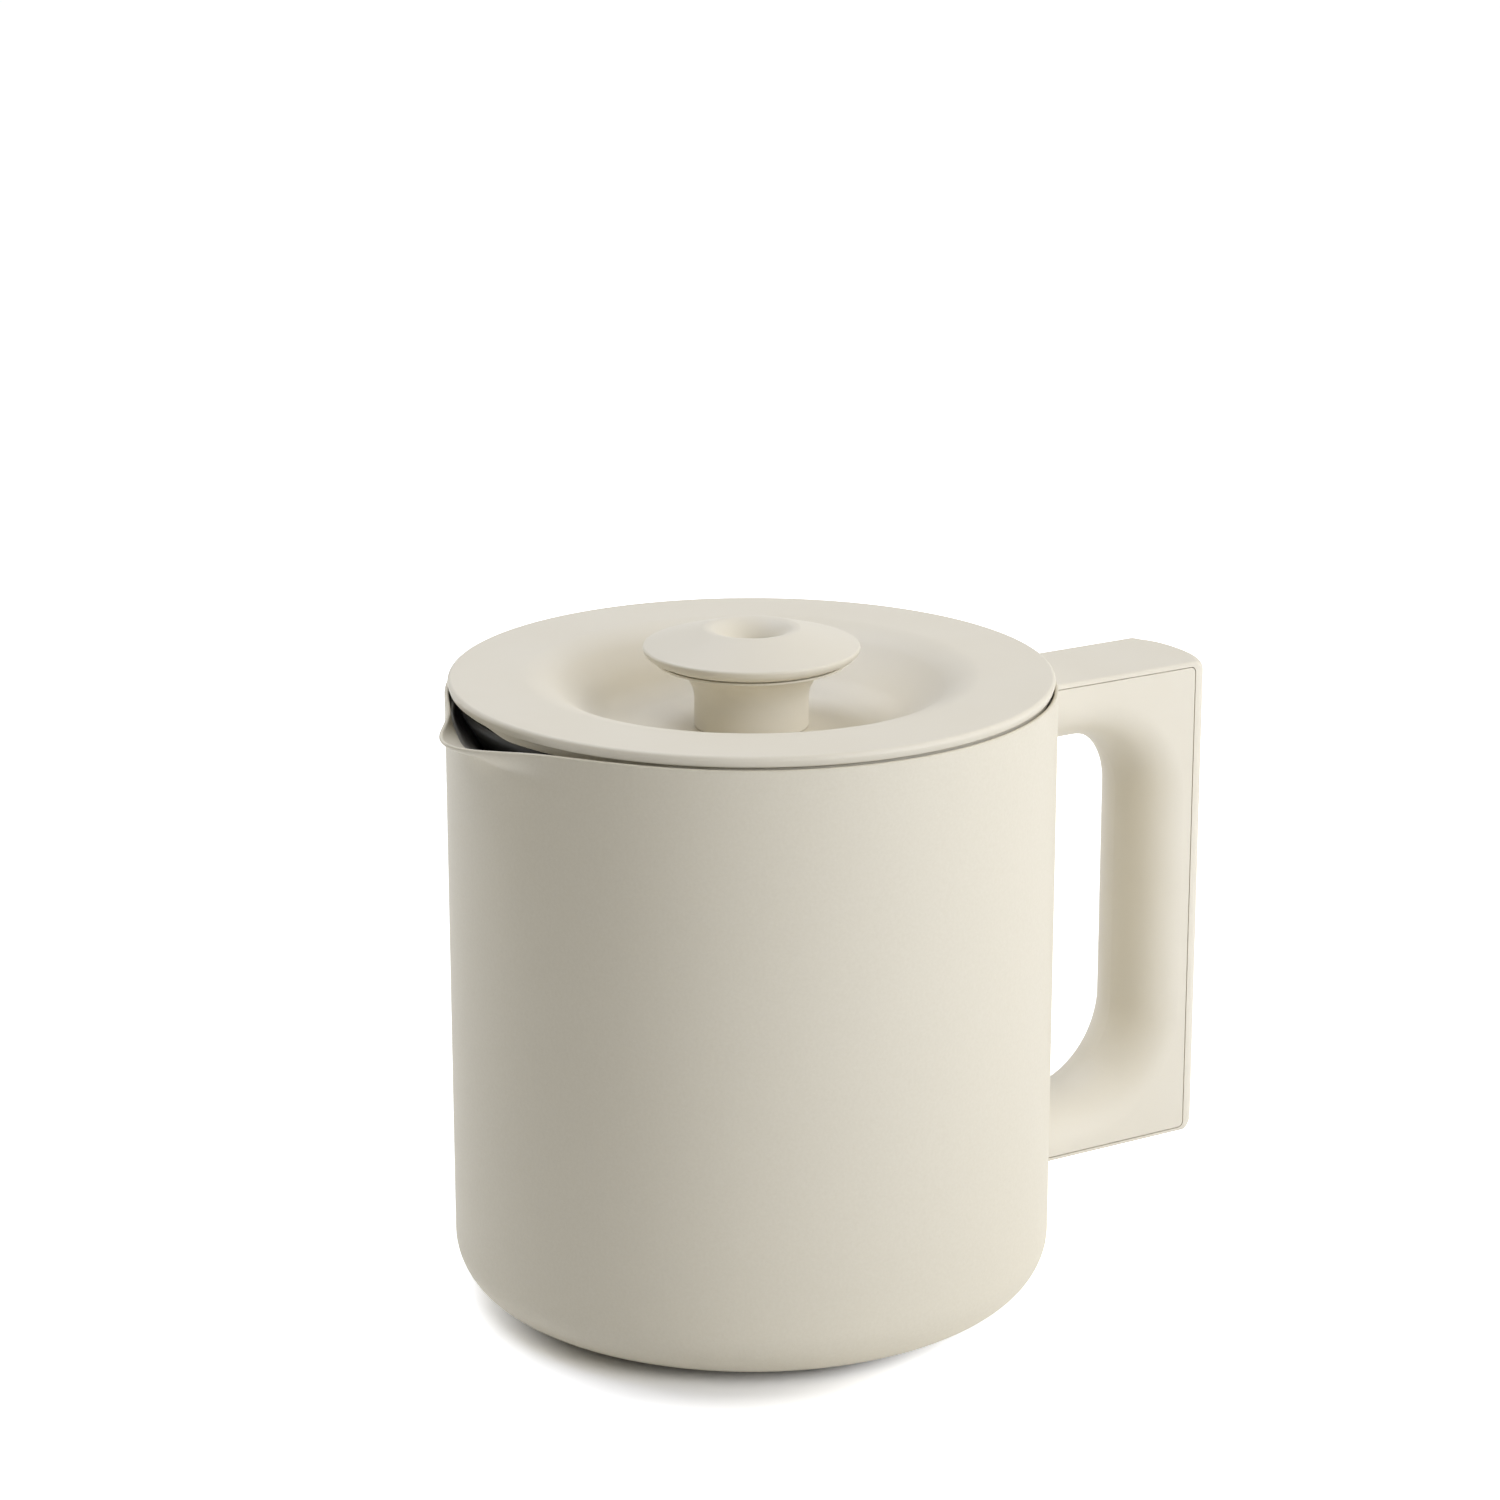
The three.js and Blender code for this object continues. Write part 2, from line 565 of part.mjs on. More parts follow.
function knobCap() {
  const edgeZ = CAP_Z + CAP_EDGE;
  const coneSlope = CAP_RISE / (CAP_R - FUNNEL_R);
  const underside = (r) => [r, CAP_TOP_Z - CAP_SHEET - coneSlope * (r - FUNNEL_R)];
  const seatR = FLANGE_R - CAP_RIB;
  const spoutR = DRIP_R + TUBE_WALL;
  const spoutZ = TUBE_TOP_Z + TUBE_CLEARANCE;
  const outline = [
    [seatR, CAP_Z],
    [FLANGE_R, CAP_Z],
    [CAP_R - CAP_UNDERCUT / 3, CAP_Z + CAP_EDGE / 2],
    [CAP_R, edgeZ - CAP_SOFTENING],
    [CAP_R - CAP_SOFTENING, edgeZ],
    ...funnelCurve(),
    [DRIP_R, spoutZ],
    [spoutR, spoutZ],
    [spoutR, CAP_TOP_Z - FUNNEL_DEPTH],
    underside(FUNNEL_R),
    underside(seatR),
  ];
  return spinRing(outline, KNOB_SIDES);
}

// Tube that carries the coffee on down into the vessel, with a groove for its sealing ring.
function dripTube() {
  const flangeR = TUBE_R + TUBE_FLANGE;
  const flangeZ = STEM_FLOOR_Z + SEAT_GAP;
  const grooveR = BORE_R - 2 * RING_SECTION_R;
  const grooveHalf = RING_SECTION_R + TUBE_CLEARANCE;
  const outline = [
    [DRIP_R, SPIGOT_Z - TUBE_BELOW_SPIGOT],
    [TUBE_R, SPIGOT_Z - TUBE_BELOW_SPIGOT],
    [TUBE_R, RING_Z - grooveHalf],
    [grooveR, RING_Z - grooveHalf],
    [grooveR, RING_Z + grooveHalf],
    [TUBE_R, RING_Z + grooveHalf],
    [TUBE_R, flangeZ],
    [flangeR, flangeZ],
    [flangeR, TUBE_TOP_Z],
    [DRIP_R, TUBE_TOP_Z],
  ];
  return spinRing(outline, SMALL_SIDES);
}

function tubeRing() {
  const geometry = new THREE.TorusGeometry(BORE_R - RING_SECTION_R, RING_SECTION_R - SEAT_GAP, HEX_SIDES, SMALL_SIDES);
  return geometry.translate(0, 0, RING_Z);
}

// Lobed nut that clamps both lid mouldings to the knob.
function stemNut() {
  const outline = new THREE.Shape();
  const steps = NUT_LOBES * HEX_SIDES;
  for (let i = 0; i < steps; i += 1) {
    const angle = (i / steps) * 2 * Math.PI;
    const radius = SPIGOT_HOLE_R + NUT_WALL + NUT_LOBE_DEPTH * Math.cos(NUT_LOBES * angle);
    const [x, y] = [radius * Math.cos(angle), radius * Math.sin(angle)];
    if (i === 0) outline.moveTo(x, y);
    else outline.lineTo(x, y);
  }
  const hole = new THREE.Path().absarc(0, 0, SPIGOT_HOLE_R, 0, 2 * Math.PI, true);
  outline.holes.push(hole);
  const geometry = new THREE.ExtrudeGeometry(outline, {
    depth: NUT_HEIGHT,
    bevelEnabled: false,
    curveSegments: SMALL_SIDES,
  });
  return geometry.translate(0, 0, NUT_Z);
}

// Side view of the space inside the cover: straight arms and a straight back with small rounded corners.
function loopSide(backX, bottomZ, topZ, corner) {
  const shape = new THREE.Shape();
  shape.moveTo(ARM_START_X, bottomZ);
  shape.lineTo(backX - corner, bottomZ);
  shape.absarc(backX - corner, bottomZ + corner, corner, -Math.PI / 2, 0, false);
  shape.lineTo(backX, topZ - corner);
  shape.absarc(backX - corner, topZ - corner, corner, 0, Math.PI / 2, false);
  shape.lineTo(ARM_START_X, topZ);
  return shape;
}

// Plan of the cover: straight sides and a back that swells out in a full half ellipse.
function coverPlan() {
  const shape = new THREE.Shape();
  shape.moveTo(ARM_START_X, -HALF_WIDTH);
  for (const angle of levels(-Math.PI / 2, Math.PI / 2, CROWN_STEPS)) {
    const along = Math.abs(Math.cos(angle)) ** (2 / CROWN_FULLNESS);
    const across = Math.sign(angle) * Math.abs(Math.sin(angle)) ** (2 / CROWN_FULLNESS);
    shape.lineTo(SEAM_X + HANDLE_CROWN * along, HALF_WIDTH * across);
  }
  shape.lineTo(ARM_START_X, HALF_WIDTH);
  return shape;
}

function handleCover() {
  const block = new THREE.ExtrudeGeometry(coverPlan(), {
    depth: HANDLE_TOP_Z - HANDLE_BOTTOM_Z - 2 * COVER_EDGE_ROUND,
    bevelThickness: COVER_EDGE_ROUND,
    bevelSize: COVER_EDGE_ROUND,
    bevelOffset: -COVER_EDGE_ROUND,
    bevelSegments: COVER_EDGE_STEPS,
  });
  block.translate(0, 0, HANDLE_BOTTOM_Z + COVER_EDGE_ROUND);
  const backX = SEAM_X + HANDLE_CROWN;
  const outside = extrudeAcross(loopSide(backX, HANDLE_BOTTOM_Z, HANDLE_TOP_Z, COVER_CORNER_R), 2 * HANDLE_WIDTH);
  const inside = extrudeAcross(loopSide(SEAM_X, SEAM_BOTTOM_Z, SEAM_TOP_Z, SEAM_CORNER_R), 2 * HANDLE_WIDTH);
  return cut(common(block, outside), inside, shellSpace(HANDLE_CLEARANCE));
}

// Stations along the inner side of the grip, each a point in the X and Z plane and its way outward.
function gripStations() {
  const upperZ = GRIP_TOP_Z - UPPER_ARM;
  const lowerZ = GRIP_BOTTOM_Z + LOWER_ARM;
  const corner = (radius, z, from, cornerZ, to) => {
    const x = BAR_X - radius;
    const toCorner = Math.atan2(cornerZ - z, GRIP_X - x);
    const angles = [...levels(from, toCorner, CORNER_STEPS), ...levels(toCorner, to, CORNER_STEPS).slice(1)];
    return angles.map((angle) => {
      const out = new THREE.Vector2(Math.cos(angle), Math.sin(angle));
      return { place: new THREE.Vector2(x, z).addScaledVector(out, radius), out };
    });
  };
  return [
    { place: new THREE.Vector2(ARM_START_X, upperZ), out: new THREE.Vector2(0, 1) },
    ...corner(UPPER_CORNER_R, upperZ - UPPER_CORNER_R, Math.PI / 2, GRIP_TOP_Z, 0),
    ...corner(LOWER_CORNER_R, lowerZ + LOWER_CORNER_R, 0, GRIP_BOTTOM_Z, -Math.PI / 2),
    { place: new THREE.Vector2(ARM_START_X, lowerZ), out: new THREE.Vector2(0, -1) },
  ];
}

// Depth of the grip at a station, out to the faces that the cover closes.
function gripDepth({ place, out }) {
  const limits = [Infinity];
  if (out.x > Number.EPSILON) limits.push((GRIP_X - place.x) / out.x);
  if (out.y > Number.EPSILON) limits.push((GRIP_TOP_Z - place.y) / out.y);
  if (out.y < -Number.EPSILON) limits.push((GRIP_BOTTOM_Z - place.y) / out.y);
  return Math.min(...limits);
}

// Section of the grip at a station: flat outside, short flat sides and a half ellipse towards the fingers.
function gripSection(station) {
  const depth = gripDepth(station);
  const at = (inward, y) => {
    const spot = station.place.clone().addScaledVector(station.out, depth - inward);
    return new THREE.Vector3(spot.x, y, spot.y);
  };
  const flat = depth - GRIP_ROUND;
  const round = levels(0, Math.PI, GRIP_STEPS).map((angle) =>
    at(flat + GRIP_ROUND * Math.sin(angle), -HALF_WIDTH * Math.cos(angle)),
  );
  return [at(0, HALF_WIDTH), at(0, -HALF_WIDTH), ...round];
}

// Skin over a row of convex sections that have the same number of points.
function loft(sections) {
  const count = sections[0].length;
  const last = (sections.length - 1) * count;
  const index = [];
  for (let i = 0; i < last; i += count) {
    for (let j = 0; j < count; j += 1) {
      const next = (j + 1) % count;
      index.push(i + j, i + next, i + count + next, i + j, i + count + next, i + count + j);
    }
  }
  for (let j = 1; j < count - 1; j += 1) {
    index.push(0, j + 1, j, last, last + j, last + j + 1);
  }
  const geometry = new THREE.BufferGeometry().setFromPoints(sections.flat());
  geometry.setIndex(index);
  return geometry;
}

// One fixing point of the handle. Up is 1 for the upper arm and -1 for the lower one.
function fixing(up) {
  const faceZ = up > 0 ? GRIP_TOP_Z : GRIP_BOTTOM_Z;
  const tabZ = faceZ - up * (up > 0 ? UPPER_TAB_DROP : LOWER_TAB_DROP);
  const screwTopZ = faceZ - up * SCREW_SUNK;
  const screwEndZ = tabZ - up * (BRACKET_SHEET / 2 + SCREW_PAST_TAB);
  return { up, faceZ, tabZ, screwTopZ, screwEndZ };
}

function between(x, radius, z0, z1, sides) {
  return post(x, radius, Math.min(z0, z1), Math.max(z0, z1), sides);
}

function screwPlaces() {
  return [BODY_R + SCREW_INNER, BODY_R + SCREW_OUTER];
}

// Flange against the shell and a tab into the arm, grown on every side by a clearance.
function bracketParts({ tabZ }, clearance) {
  const halfWidth = BRACKET_WIDTH / 2 + clearance;
  const halfTab = BRACKET_SHEET / 2 + clearance;
  const halfFlange = BRACKET_FLANGE / 2 + clearance;
  const flangeX = BODY_R + BRACKET_SHEET + clearance;
  const tabX = BODY_R + BRACKET_LENGTH + clearance;
  return [
    box(ARM_START_X, flangeX, -halfWidth, halfWidth, tabZ - halfFlange, tabZ + halfFlange),
    box(ARM_START_X, tabX, -halfWidth, halfWidth, tabZ - halfTab, tabZ + halfTab),
  ];
}

function bracket(place) {
  const [flange, tab] = bracketParts(place, 0);
  const whole = geometryOf(solidOf(flange).add(solidOf(tab)));
  const reach = BRACKET_FLANGE;
  const holes = screwPlaces().map((x) =>
    post(x, SCREW_R + SCREW_CLEARANCE, place.tabZ - reach, place.tabZ + reach, SCREW_SIDES),
  );
  return cut(whole, shellSpace(BRACKET_GAP), ...holes);
}

// Room in the grip for a bracket and its two screws.
function fixingRoom(place) {
  const holes = screwPlaces().flatMap((x) => {
    const headEnd = place.screwTopZ - place.up * (SCREW_HEAD + SEAT_GAP);
    const pastFace = place.faceZ + place.up * SCREW_HEAD;
    const pastEnd = place.screwEndZ - place.up * SCREW_CLEARANCE;
    return [
      between(x, SCREW_HEAD_R + SCREW_CLEARANCE, headEnd, pastFace, SMALL_SIDES),
      between(x, SCREW_R + SCREW_CLEARANCE, pastEnd, pastFace, SCREW_SIDES),
    ];
  });
  return [...bracketParts(place, POCKET_CLEARANCE), ...holes];
}

function handleGrip(fixings) {
  const bar = loft(gripStations().map(gripSection));
  const corner = SEAM_CORNER_R - COVER_SEAM;
  const inside = extrudeAcross(loopSide(GRIP_X, GRIP_BOTTOM_Z, GRIP_TOP_Z, corner), 2 * HANDLE_WIDTH);
  return cut(common(bar, inside), shellSpace(HANDLE_CLEARANCE), ...fixings.flatMap(fixingRoom));
}

// Socket-head screw that points away from the cover.
function screw(place, x) {
  const neckZ = place.screwTopZ - place.up * SCREW_HEAD;
  const shank = between(x, SCREW_R, place.screwEndZ, neckZ + (place.up * SCREW_HEAD) / 2, SCREW_SIDES);
  const head = between(x, SCREW_HEAD_R, neckZ, place.screwTopZ, SCREW_SIDES);
  const socketZ = place.screwTopZ - place.up * SCREW_SOCKET;
  const socket = between(x, SCREW_SOCKET_R, socketZ, place.screwTopZ + place.up * SCREW_HEAD, HEX_SIDES);
  return cut(geometryOf(solidOf(head).add(solidOf(shank))), socket);
}

const upper = fixing(1);
const lower = fixing(-1);
const [innerX, outerX] = screwPlaces();

piece("outer_shell", outerShell(), FINISHES.powderCoat);
piece("inner_liner", innerLiner(), FINISHES.steel);
piece("base_plate", basePlate(), FINISHES.steel);
piece("vacuum_seal", vacuumSeal(), FINISHES.steel);
piece("getter", getter(), FINISHES.steel);
piece("base_foot", baseFoot(), FINISHES.greySilicone);
piece("handle_grip", handleGrip([upper, lower]), FINISHES.creamPlastic);
piece("handle_cover", handleCover(), FINISHES.creamPlastic);
piece("handle_bracket_upper", bracket(upper), FINISHES.steel);
piece("handle_bracket_lower", bracket(lower), FINISHES.steel);
piece("handle_screw_upper_inner", screw(upper, innerX), FINISHES.steel);
piece("handle_screw_upper_outer", screw(upper, outerX), FINISHES.steel);
piece("handle_screw_lower_inner", screw(lower, innerX), FINISHES.steel);
piece("handle_screw_lower_outer", screw(lower, outerX), FINISHES.steel);
piece("lid_top", lidTop(), FINISHES.creamPlastic);
piece("lid_trim_ring", lidTrimRing(), FINISHES.creamPlastic);
piece("lid_base", lidBase(), FINISHES.darkPlastic);
piece("lid_gasket", lidGasket(), FINISHES.greySilicone);
piece("knob_stem", knobStem(), FINISHES.creamPlastic);
piece("knob_cap", knobCap(), FINISHES.creamPlastic);
piece("drip_tube", dripTube(), FINISHES.darkPlastic);
piece("tube_ring", tubeRing(), FINISHES.greySilicone);
piece("stem_nut", stemNut(), FINISHES.darkPlastic);

export default carafe;
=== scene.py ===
"""Looks of a round thermal carafe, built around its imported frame.

The classes hold their sizes in millimetres, and each mesh becomes metres when its piece is finished. +Z is up, the
handle points along +X and the pouring lip along -X.
"""
import json
import logging
import math
from dataclasses import KW_ONLY, dataclass
from enum import Enum
from typing import Any, Callable, Iterable, Sequence

import bmesh
import bpy
from bmesh.types import BMEdge, BMesh, BMVert
from bpy.types import Material, Node, NodeSocket, NodeTree, Object
from mathutils import Matrix, Vector


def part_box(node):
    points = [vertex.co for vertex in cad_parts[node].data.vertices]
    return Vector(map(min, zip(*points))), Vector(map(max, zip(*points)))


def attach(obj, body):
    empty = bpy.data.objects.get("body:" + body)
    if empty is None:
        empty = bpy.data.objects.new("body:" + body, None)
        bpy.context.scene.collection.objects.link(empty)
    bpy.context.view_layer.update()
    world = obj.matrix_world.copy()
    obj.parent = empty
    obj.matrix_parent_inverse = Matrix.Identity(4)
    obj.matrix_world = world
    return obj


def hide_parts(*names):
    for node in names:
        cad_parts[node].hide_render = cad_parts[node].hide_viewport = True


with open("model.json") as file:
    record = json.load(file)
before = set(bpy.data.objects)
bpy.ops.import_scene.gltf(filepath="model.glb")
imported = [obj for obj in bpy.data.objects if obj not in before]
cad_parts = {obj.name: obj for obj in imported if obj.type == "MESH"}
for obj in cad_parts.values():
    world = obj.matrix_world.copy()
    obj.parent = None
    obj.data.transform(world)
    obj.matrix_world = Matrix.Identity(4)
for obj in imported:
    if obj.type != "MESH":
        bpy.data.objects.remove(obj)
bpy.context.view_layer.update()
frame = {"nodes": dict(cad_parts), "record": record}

LOG = logging.getLogger("carafe")
MM = 0.001
MERGE_DISTANCE = 0.0005  # points closer than this are one, in millimetres
ARC_STEP = math.radians(6)  # facets of a rounded corner
LEAST_ARC_STEPS = 4
SHARP_ANGLE = math.radians(40)
VESSEL_SIDES = 288
TURNED_SIDES = 224
KNOB_SIDES = 192
IMAGE_SIZE = 1500  # pixels along each side of the photograph


class Body(Enum):
    """Bodies of the frame that pieces ride on."""

    VESSEL = "vessel"
    SEAL = "seal"
    LID = "lid"


class Slot(Enum):
    """Material slots of the record."""

    POWDER_COAT = "cream_powder_coat"
    CREAM_PLASTIC = "cream_plastic"
    STEEL = "steel"
    SILICONE = "grey_silicone"
    DARK_PLASTIC = "dark_plastic"


def lowest(node: str) -> Vector:
    """Returns the lowest corner of a frame node, in millimetres."""
    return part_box(node)[0] / MM


def highest(node: str) -> Vector:
    """Returns the highest corner of a frame node, in millimetres."""
    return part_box(node)[1] / MM


def smooth_step(value: float, start: float, end: float) -> float:
    """Rises from 0 to 1 along an S curve.

    Args:
        value: Place to read the curve at.
        start: Place where the curve leaves 0.
        end: Place where the curve reaches 1.

    Returns:
        Height of the curve.
    """
    share = min(1.0, max(0.0, (value - start) / (end - start)))
    return share * share * (3 - 2 * share)


def spread(start: float, end: float, steps: int) -> list[float]:
    """Returns evenly spaced values from start to end, both included."""
    return [start + (end - start) * i / steps for i in range(steps + 1)]


def linear(colour: str) -> tuple[float, float, float, float]:
    """Turns an sRGB hex colour into linear values.

    Args:
        colour: Six hex digits after a hash sign.

    Returns:
        Red, green, blue and full alpha.
    """
    channels = [int(colour[i:i + 2], 16) / 255 for i in (1, 3, 5)]
    red, green, blue = [c / 12.92 if c <= 0.04045 else ((c + 0.055) / 1.055) ** 2.4 for c in channels]
    return red, green, blue, 1.0


def per_mm(size: float) -> float:
    """Returns the texture scale at which a pattern's features measure this many millimetres."""
    return 1 / (size * MM)


def feed(tree: NodeTree, node: Node, inputs: dict[Any, Any]) -> None:
    """Sets or links inputs of a node.

    Args:
        tree: Node tree that holds the node.
        node: The node.
        inputs: Input sockets by name or number, each with a value or with the output socket that feeds it.
    """
    for name, value in inputs.items():
        if isinstance(value, NodeSocket):
            tree.links.new(value, node.inputs[name])
        else:
            node.inputs[name].default_value = value


def add_node(tree: NodeTree, kind: str, inputs: dict[Any, Any] | None = None, **settings: Any) -> Any:
    """Adds a node with its settings and its links.

    Args:
        tree: Node tree that takes the node.
        kind: Blender's name for the kind of node, without ShaderNode in front.
        inputs: Input sockets by name or number, each with a value or with the output socket that feeds it.
        **settings: Properties of the node.

    Returns:
        The new node.
    """
    node = tree.nodes.new("ShaderNode" + kind)
    for name, value in settings.items():
        setattr(node, name, value)
    feed(tree, node, inputs or {})
    return node


@dataclass(frozen=True)
class Noise:
    """A noise pattern: its features and its bumps in millimetres, its finer layers and the bumps' strength."""

    size: float
    detail: float
    roughness: float = 0.5
    height: float = 0.0
    strength: float = 0.6


@dataclass(frozen=True)
class Finish:
    """A surface finish: two tones that a mottle mixes, under bumps from slow to fine."""

    name: str
    colour: str
    tone: str
    _: KW_ONLY
    roughness: float
    mottle: Noise
    bumps: tuple[Noise, ...]
    swing: float  # how far the roughness moves over the mottle's whole range
    ior: float = 1.5
    gloss: float = 0.5  # share of the plain gloss
    metallic: float = 0.0

    def place(self, tree: NodeTree) -> NodeSocket:
        """Adds the coordinates that the patterns follow, in metres."""
        return add_node(tree, "TexCoord").outputs["Object"]

    def material(self) -> Material:
        """Makes the material at its first use.

        Returns:
            The material of this finish.
        """
        known = bpy.data.materials.get(self.name)
        if known is not None:
            return known
        material = bpy.data.materials.new(self.name)
        material.use_nodes = True
        tree = material.node_tree
        place = self.place(tree)
        patterns = {noise: add_node(tree, "TexNoise", {
            "Vector": place, "Scale": per_mm(noise.size), "Detail": noise.detail, "Roughness": noise.roughness,
        }).outputs["Fac"] for noise in dict.fromkeys((self.mottle, *self.bumps))}
        mottle = patterns[self.mottle]
        tint = add_node(tree, "Mix", {"Factor": mottle, 6: linear(self.colour), 7: linear(self.tone)},
                        data_type="RGBA")
        rough = add_node(tree, "MapRange", {
            "Value": mottle, "To Min": self.roughness - self.swing / 2, "To Max": self.roughness + self.swing / 2})
        normal = {}
        for noise in self.bumps:
            bump = add_node(tree, "Bump", {
                "Height": patterns[noise], "Distance": noise.height * MM, "Strength": noise.strength, **normal})
            normal = {"Normal": bump.outputs["Normal"]}
        feed(tree, tree.nodes["Principled BSDF"], {
            "Base Color": tint.outputs[2], "Roughness": rough.outputs["Result"], "IOR": self.ior,
            "Specular IOR Level": self.gloss, "Metallic": self.metallic, **normal})
        return material


@dataclass(frozen=True)
class PowderCoat(Finish):
    """Polyester powder baked on steel: matt, with a fine sandy grain over a slow orange-peel wave."""

    # real grit is about 0.2 mm, drawn coarser so that it shows
    mottle: Noise = Noise(0.7, 3, roughness=0.6, height=0.02, strength=0.8)
    bumps: tuple[Noise, ...] = (Noise(4.5, 1, height=0.03), mottle)
    swing: float = 0.12


@dataclass(frozen=True)
class MouldedPlastic(Finish):
    """ABS from a spark-eroded mould: satin, with slow clouds in its tone and a fine dull texture."""

    mottle: Noise = Noise(22.0, 2)
    bumps: tuple[Noise, ...] = (Noise(0.55, 2, height=0.008, strength=0.7),)  # really finer, coarse so that it shows
    swing: float = 0.06


@dataclass(frozen=True)
class TurnedSteel(Finish):
    """Stainless sheet that was spun and polished: fine rings round the axis that streak the reflections."""

    mottle: Noise = Noise(0.6, 3, height=0.004)
    bumps: tuple[Noise, ...] = (mottle,)
    swing: float = 0.14
    metallic: float = 1.0
    streaks_round: float = 1.5  # millimetres of pattern per radian, which draws it out into streaks

    def place(self, tree: NodeTree) -> NodeSocket:
        """Adds coordinates that draw the pattern out into rings round the Z axis.

        Args:
            tree: Node tree of the material.

        Returns:
            Socket with the radius, a short way round and the height.
        """
        parts = add_node(tree, "SeparateXYZ", {"Vector": super().place(tree)}).outputs
        angle = add_node(tree, "Math", {0: parts["Y"], 1: parts["X"]}, operation="ARCTAN2").outputs[0]
        around = add_node(tree, "Math", {0: angle, 1: self.streaks_round * MM}, operation="MULTIPLY").outputs[0]
        flat = add_node(tree, "CombineXYZ", {"X": parts["X"], "Y": parts["Y"]}).outputs[0]
        radius = add_node(tree, "VectorMath", {0: flat}, operation="LENGTH").outputs["Value"]
        return add_node(tree, "CombineXYZ", {"X": radius, "Y": around, "Z": parts["Z"]}).outputs[0]


@dataclass(frozen=True)
class SoftRubber(Finish):
    """Moulded silicone: dull, with a faint dusty bloom over a fine skin."""

    mottle: Noise = Noise(3.0, 4)
    bumps: tuple[Noise, ...] = (Noise(0.4, 1, height=0.01),)
    swing: float = 0.1


COATED = PowderCoat("powder_coated_steel", "#e2dccb", "#d9d2bf", roughness=0.55, gloss=0.3)
CREAM = MouldedPlastic("moulded_cream_abs", "#e3ddcd", "#e0d9c7", roughness=0.5, ior=1.53, gloss=0.35)
STEEL = TurnedSteel("turned_stainless_steel", "#b4b2ab", "#9b9993", roughness=0.32)
RUBBER = SoftRubber("moulded_grey_silicone", "#6b6964", "#7a7873", roughness=0.75, ior=1.41)
DARK = MouldedPlastic("moulded_dark_pp", "#1d1d1c", "#262624", roughness=0.42, ior=1.49)
FINISHES = {
    Slot.POWDER_COAT: COATED,
    Slot.CREAM_PLASTIC: CREAM,
    Slot.STEEL: STEEL,
    Slot.SILICONE: RUBBER,
    Slot.DARK_PLASTIC: DARK,
}


def add_object(name: str, data: Any) -> Object:
    """Adds an object to the scene, unturned and at the origin.

    Args:
        name: Name of the object.
        data: Its mesh, light or camera. A mesh under construction is finished and freed.

    Returns:
        The new object.
    """
    if isinstance(data, BMesh):
        built, data = data, bpy.data.meshes.new(name)
        built.to_mesh(data)
        built.free()
    made = bpy.data.objects.new(name, data)
    bpy.context.scene.collection.objects.link(made)
    return made


def wire(mesh: BMesh, verts: Sequence[BMVert]) -> list[BMEdge]:
    """Joins points into a closed wire and returns its edges."""
    return [mesh.edges.new((verts[i - 1], vert)) for i, vert in enumerate(verts)]


def loft(mesh: BMesh, rings: Sequence[list[BMEdge]]) -> None:
    """Closes a skin over neighbouring rings of edges, with both ends filled.

    Args:
        mesh: Mesh that holds the rings.
        rings: Edges of each ring, in order.
    """
    for first, second in zip(rings, rings[1:]):
        bmesh.ops.bridge_loops(mesh, edges=first + second)
    bmesh.ops.holes_fill(mesh, edges=rings[0] + rings[-1])
    bmesh.ops.recalc_face_normals(mesh, faces=mesh.faces)


@dataclass(frozen=True)
class Corner:
    """A corner of a turned outline: radius, height and rounding, in millimetres."""

    r: float
    z: float
    rounding: float = 0.0


def round_corner(mesh: BMesh, vert: BMVert, radius: float) -> None:
    """Rounds a corner of a wire with an arc that touches both of its edges.

    Args:
        mesh: Mesh that holds the wire.
        vert: The corner.
        radius: Radius of the arc.
    """
    legs = [edge.other_vert(vert).co - vert.co for edge in vert.link_edges]
    turn = math.pi - legs[0].angle(legs[1])
    bmesh.ops.bevel(mesh, geom=[vert], offset=radius * math.tan(turn / 2), offset_type="OFFSET",
                    segments=max(LEAST_ARC_STEPS, math.ceil(turn / ARC_STEP)), profile=0.5, affect="VERTICES",
                    material=-1)


def turned(corners: Sequence[Corner], sides: int) -> BMesh:
    """Spins an outline about the Z axis.

    Args:
        corners: Corners of the outline. It closes on itself, unless it starts on the axis and ends there too.
        sides: Facets round the axis.

    Returns:
        The closed mesh.
    """
    mesh = bmesh.new()
    verts = [mesh.verts.new((corner.r, 0, corner.z)) for corner in corners]
    for i, vert in enumerate(verts):
        if i > 0 or corners[0].r > 0:
            mesh.edges.new((verts[i - 1], vert))
    for vert, corner in zip(verts, corners):
        if corner.rounding > 0:
            round_corner(mesh, vert, corner.rounding)
    bmesh.ops.spin(mesh, geom=mesh.verts[:] + mesh.edges[:], axis=(0, 0, 1), cent=(0, 0, 0), angle=2 * math.pi,
                   steps=sides, use_merge=True)
    bmesh.ops.remove_doubles(mesh, verts=mesh.verts, dist=MERGE_DISTANCE)
    bmesh.ops.recalc_face_normals(mesh, faces=mesh.faces)
    return mesh


def cut_rings(mesh: BMesh, heights: Iterable[float]) -> None:
    """Adds a ring of edges at each of these heights."""
    for z in heights:
        bmesh.ops.bisect_plane(mesh, geom=mesh.verts[:] + mesh.edges[:] + mesh.faces[:], dist=MERGE_DISTANCE,
                               plane_co=(0, 0, z), plane_no=(0, 0, 1))


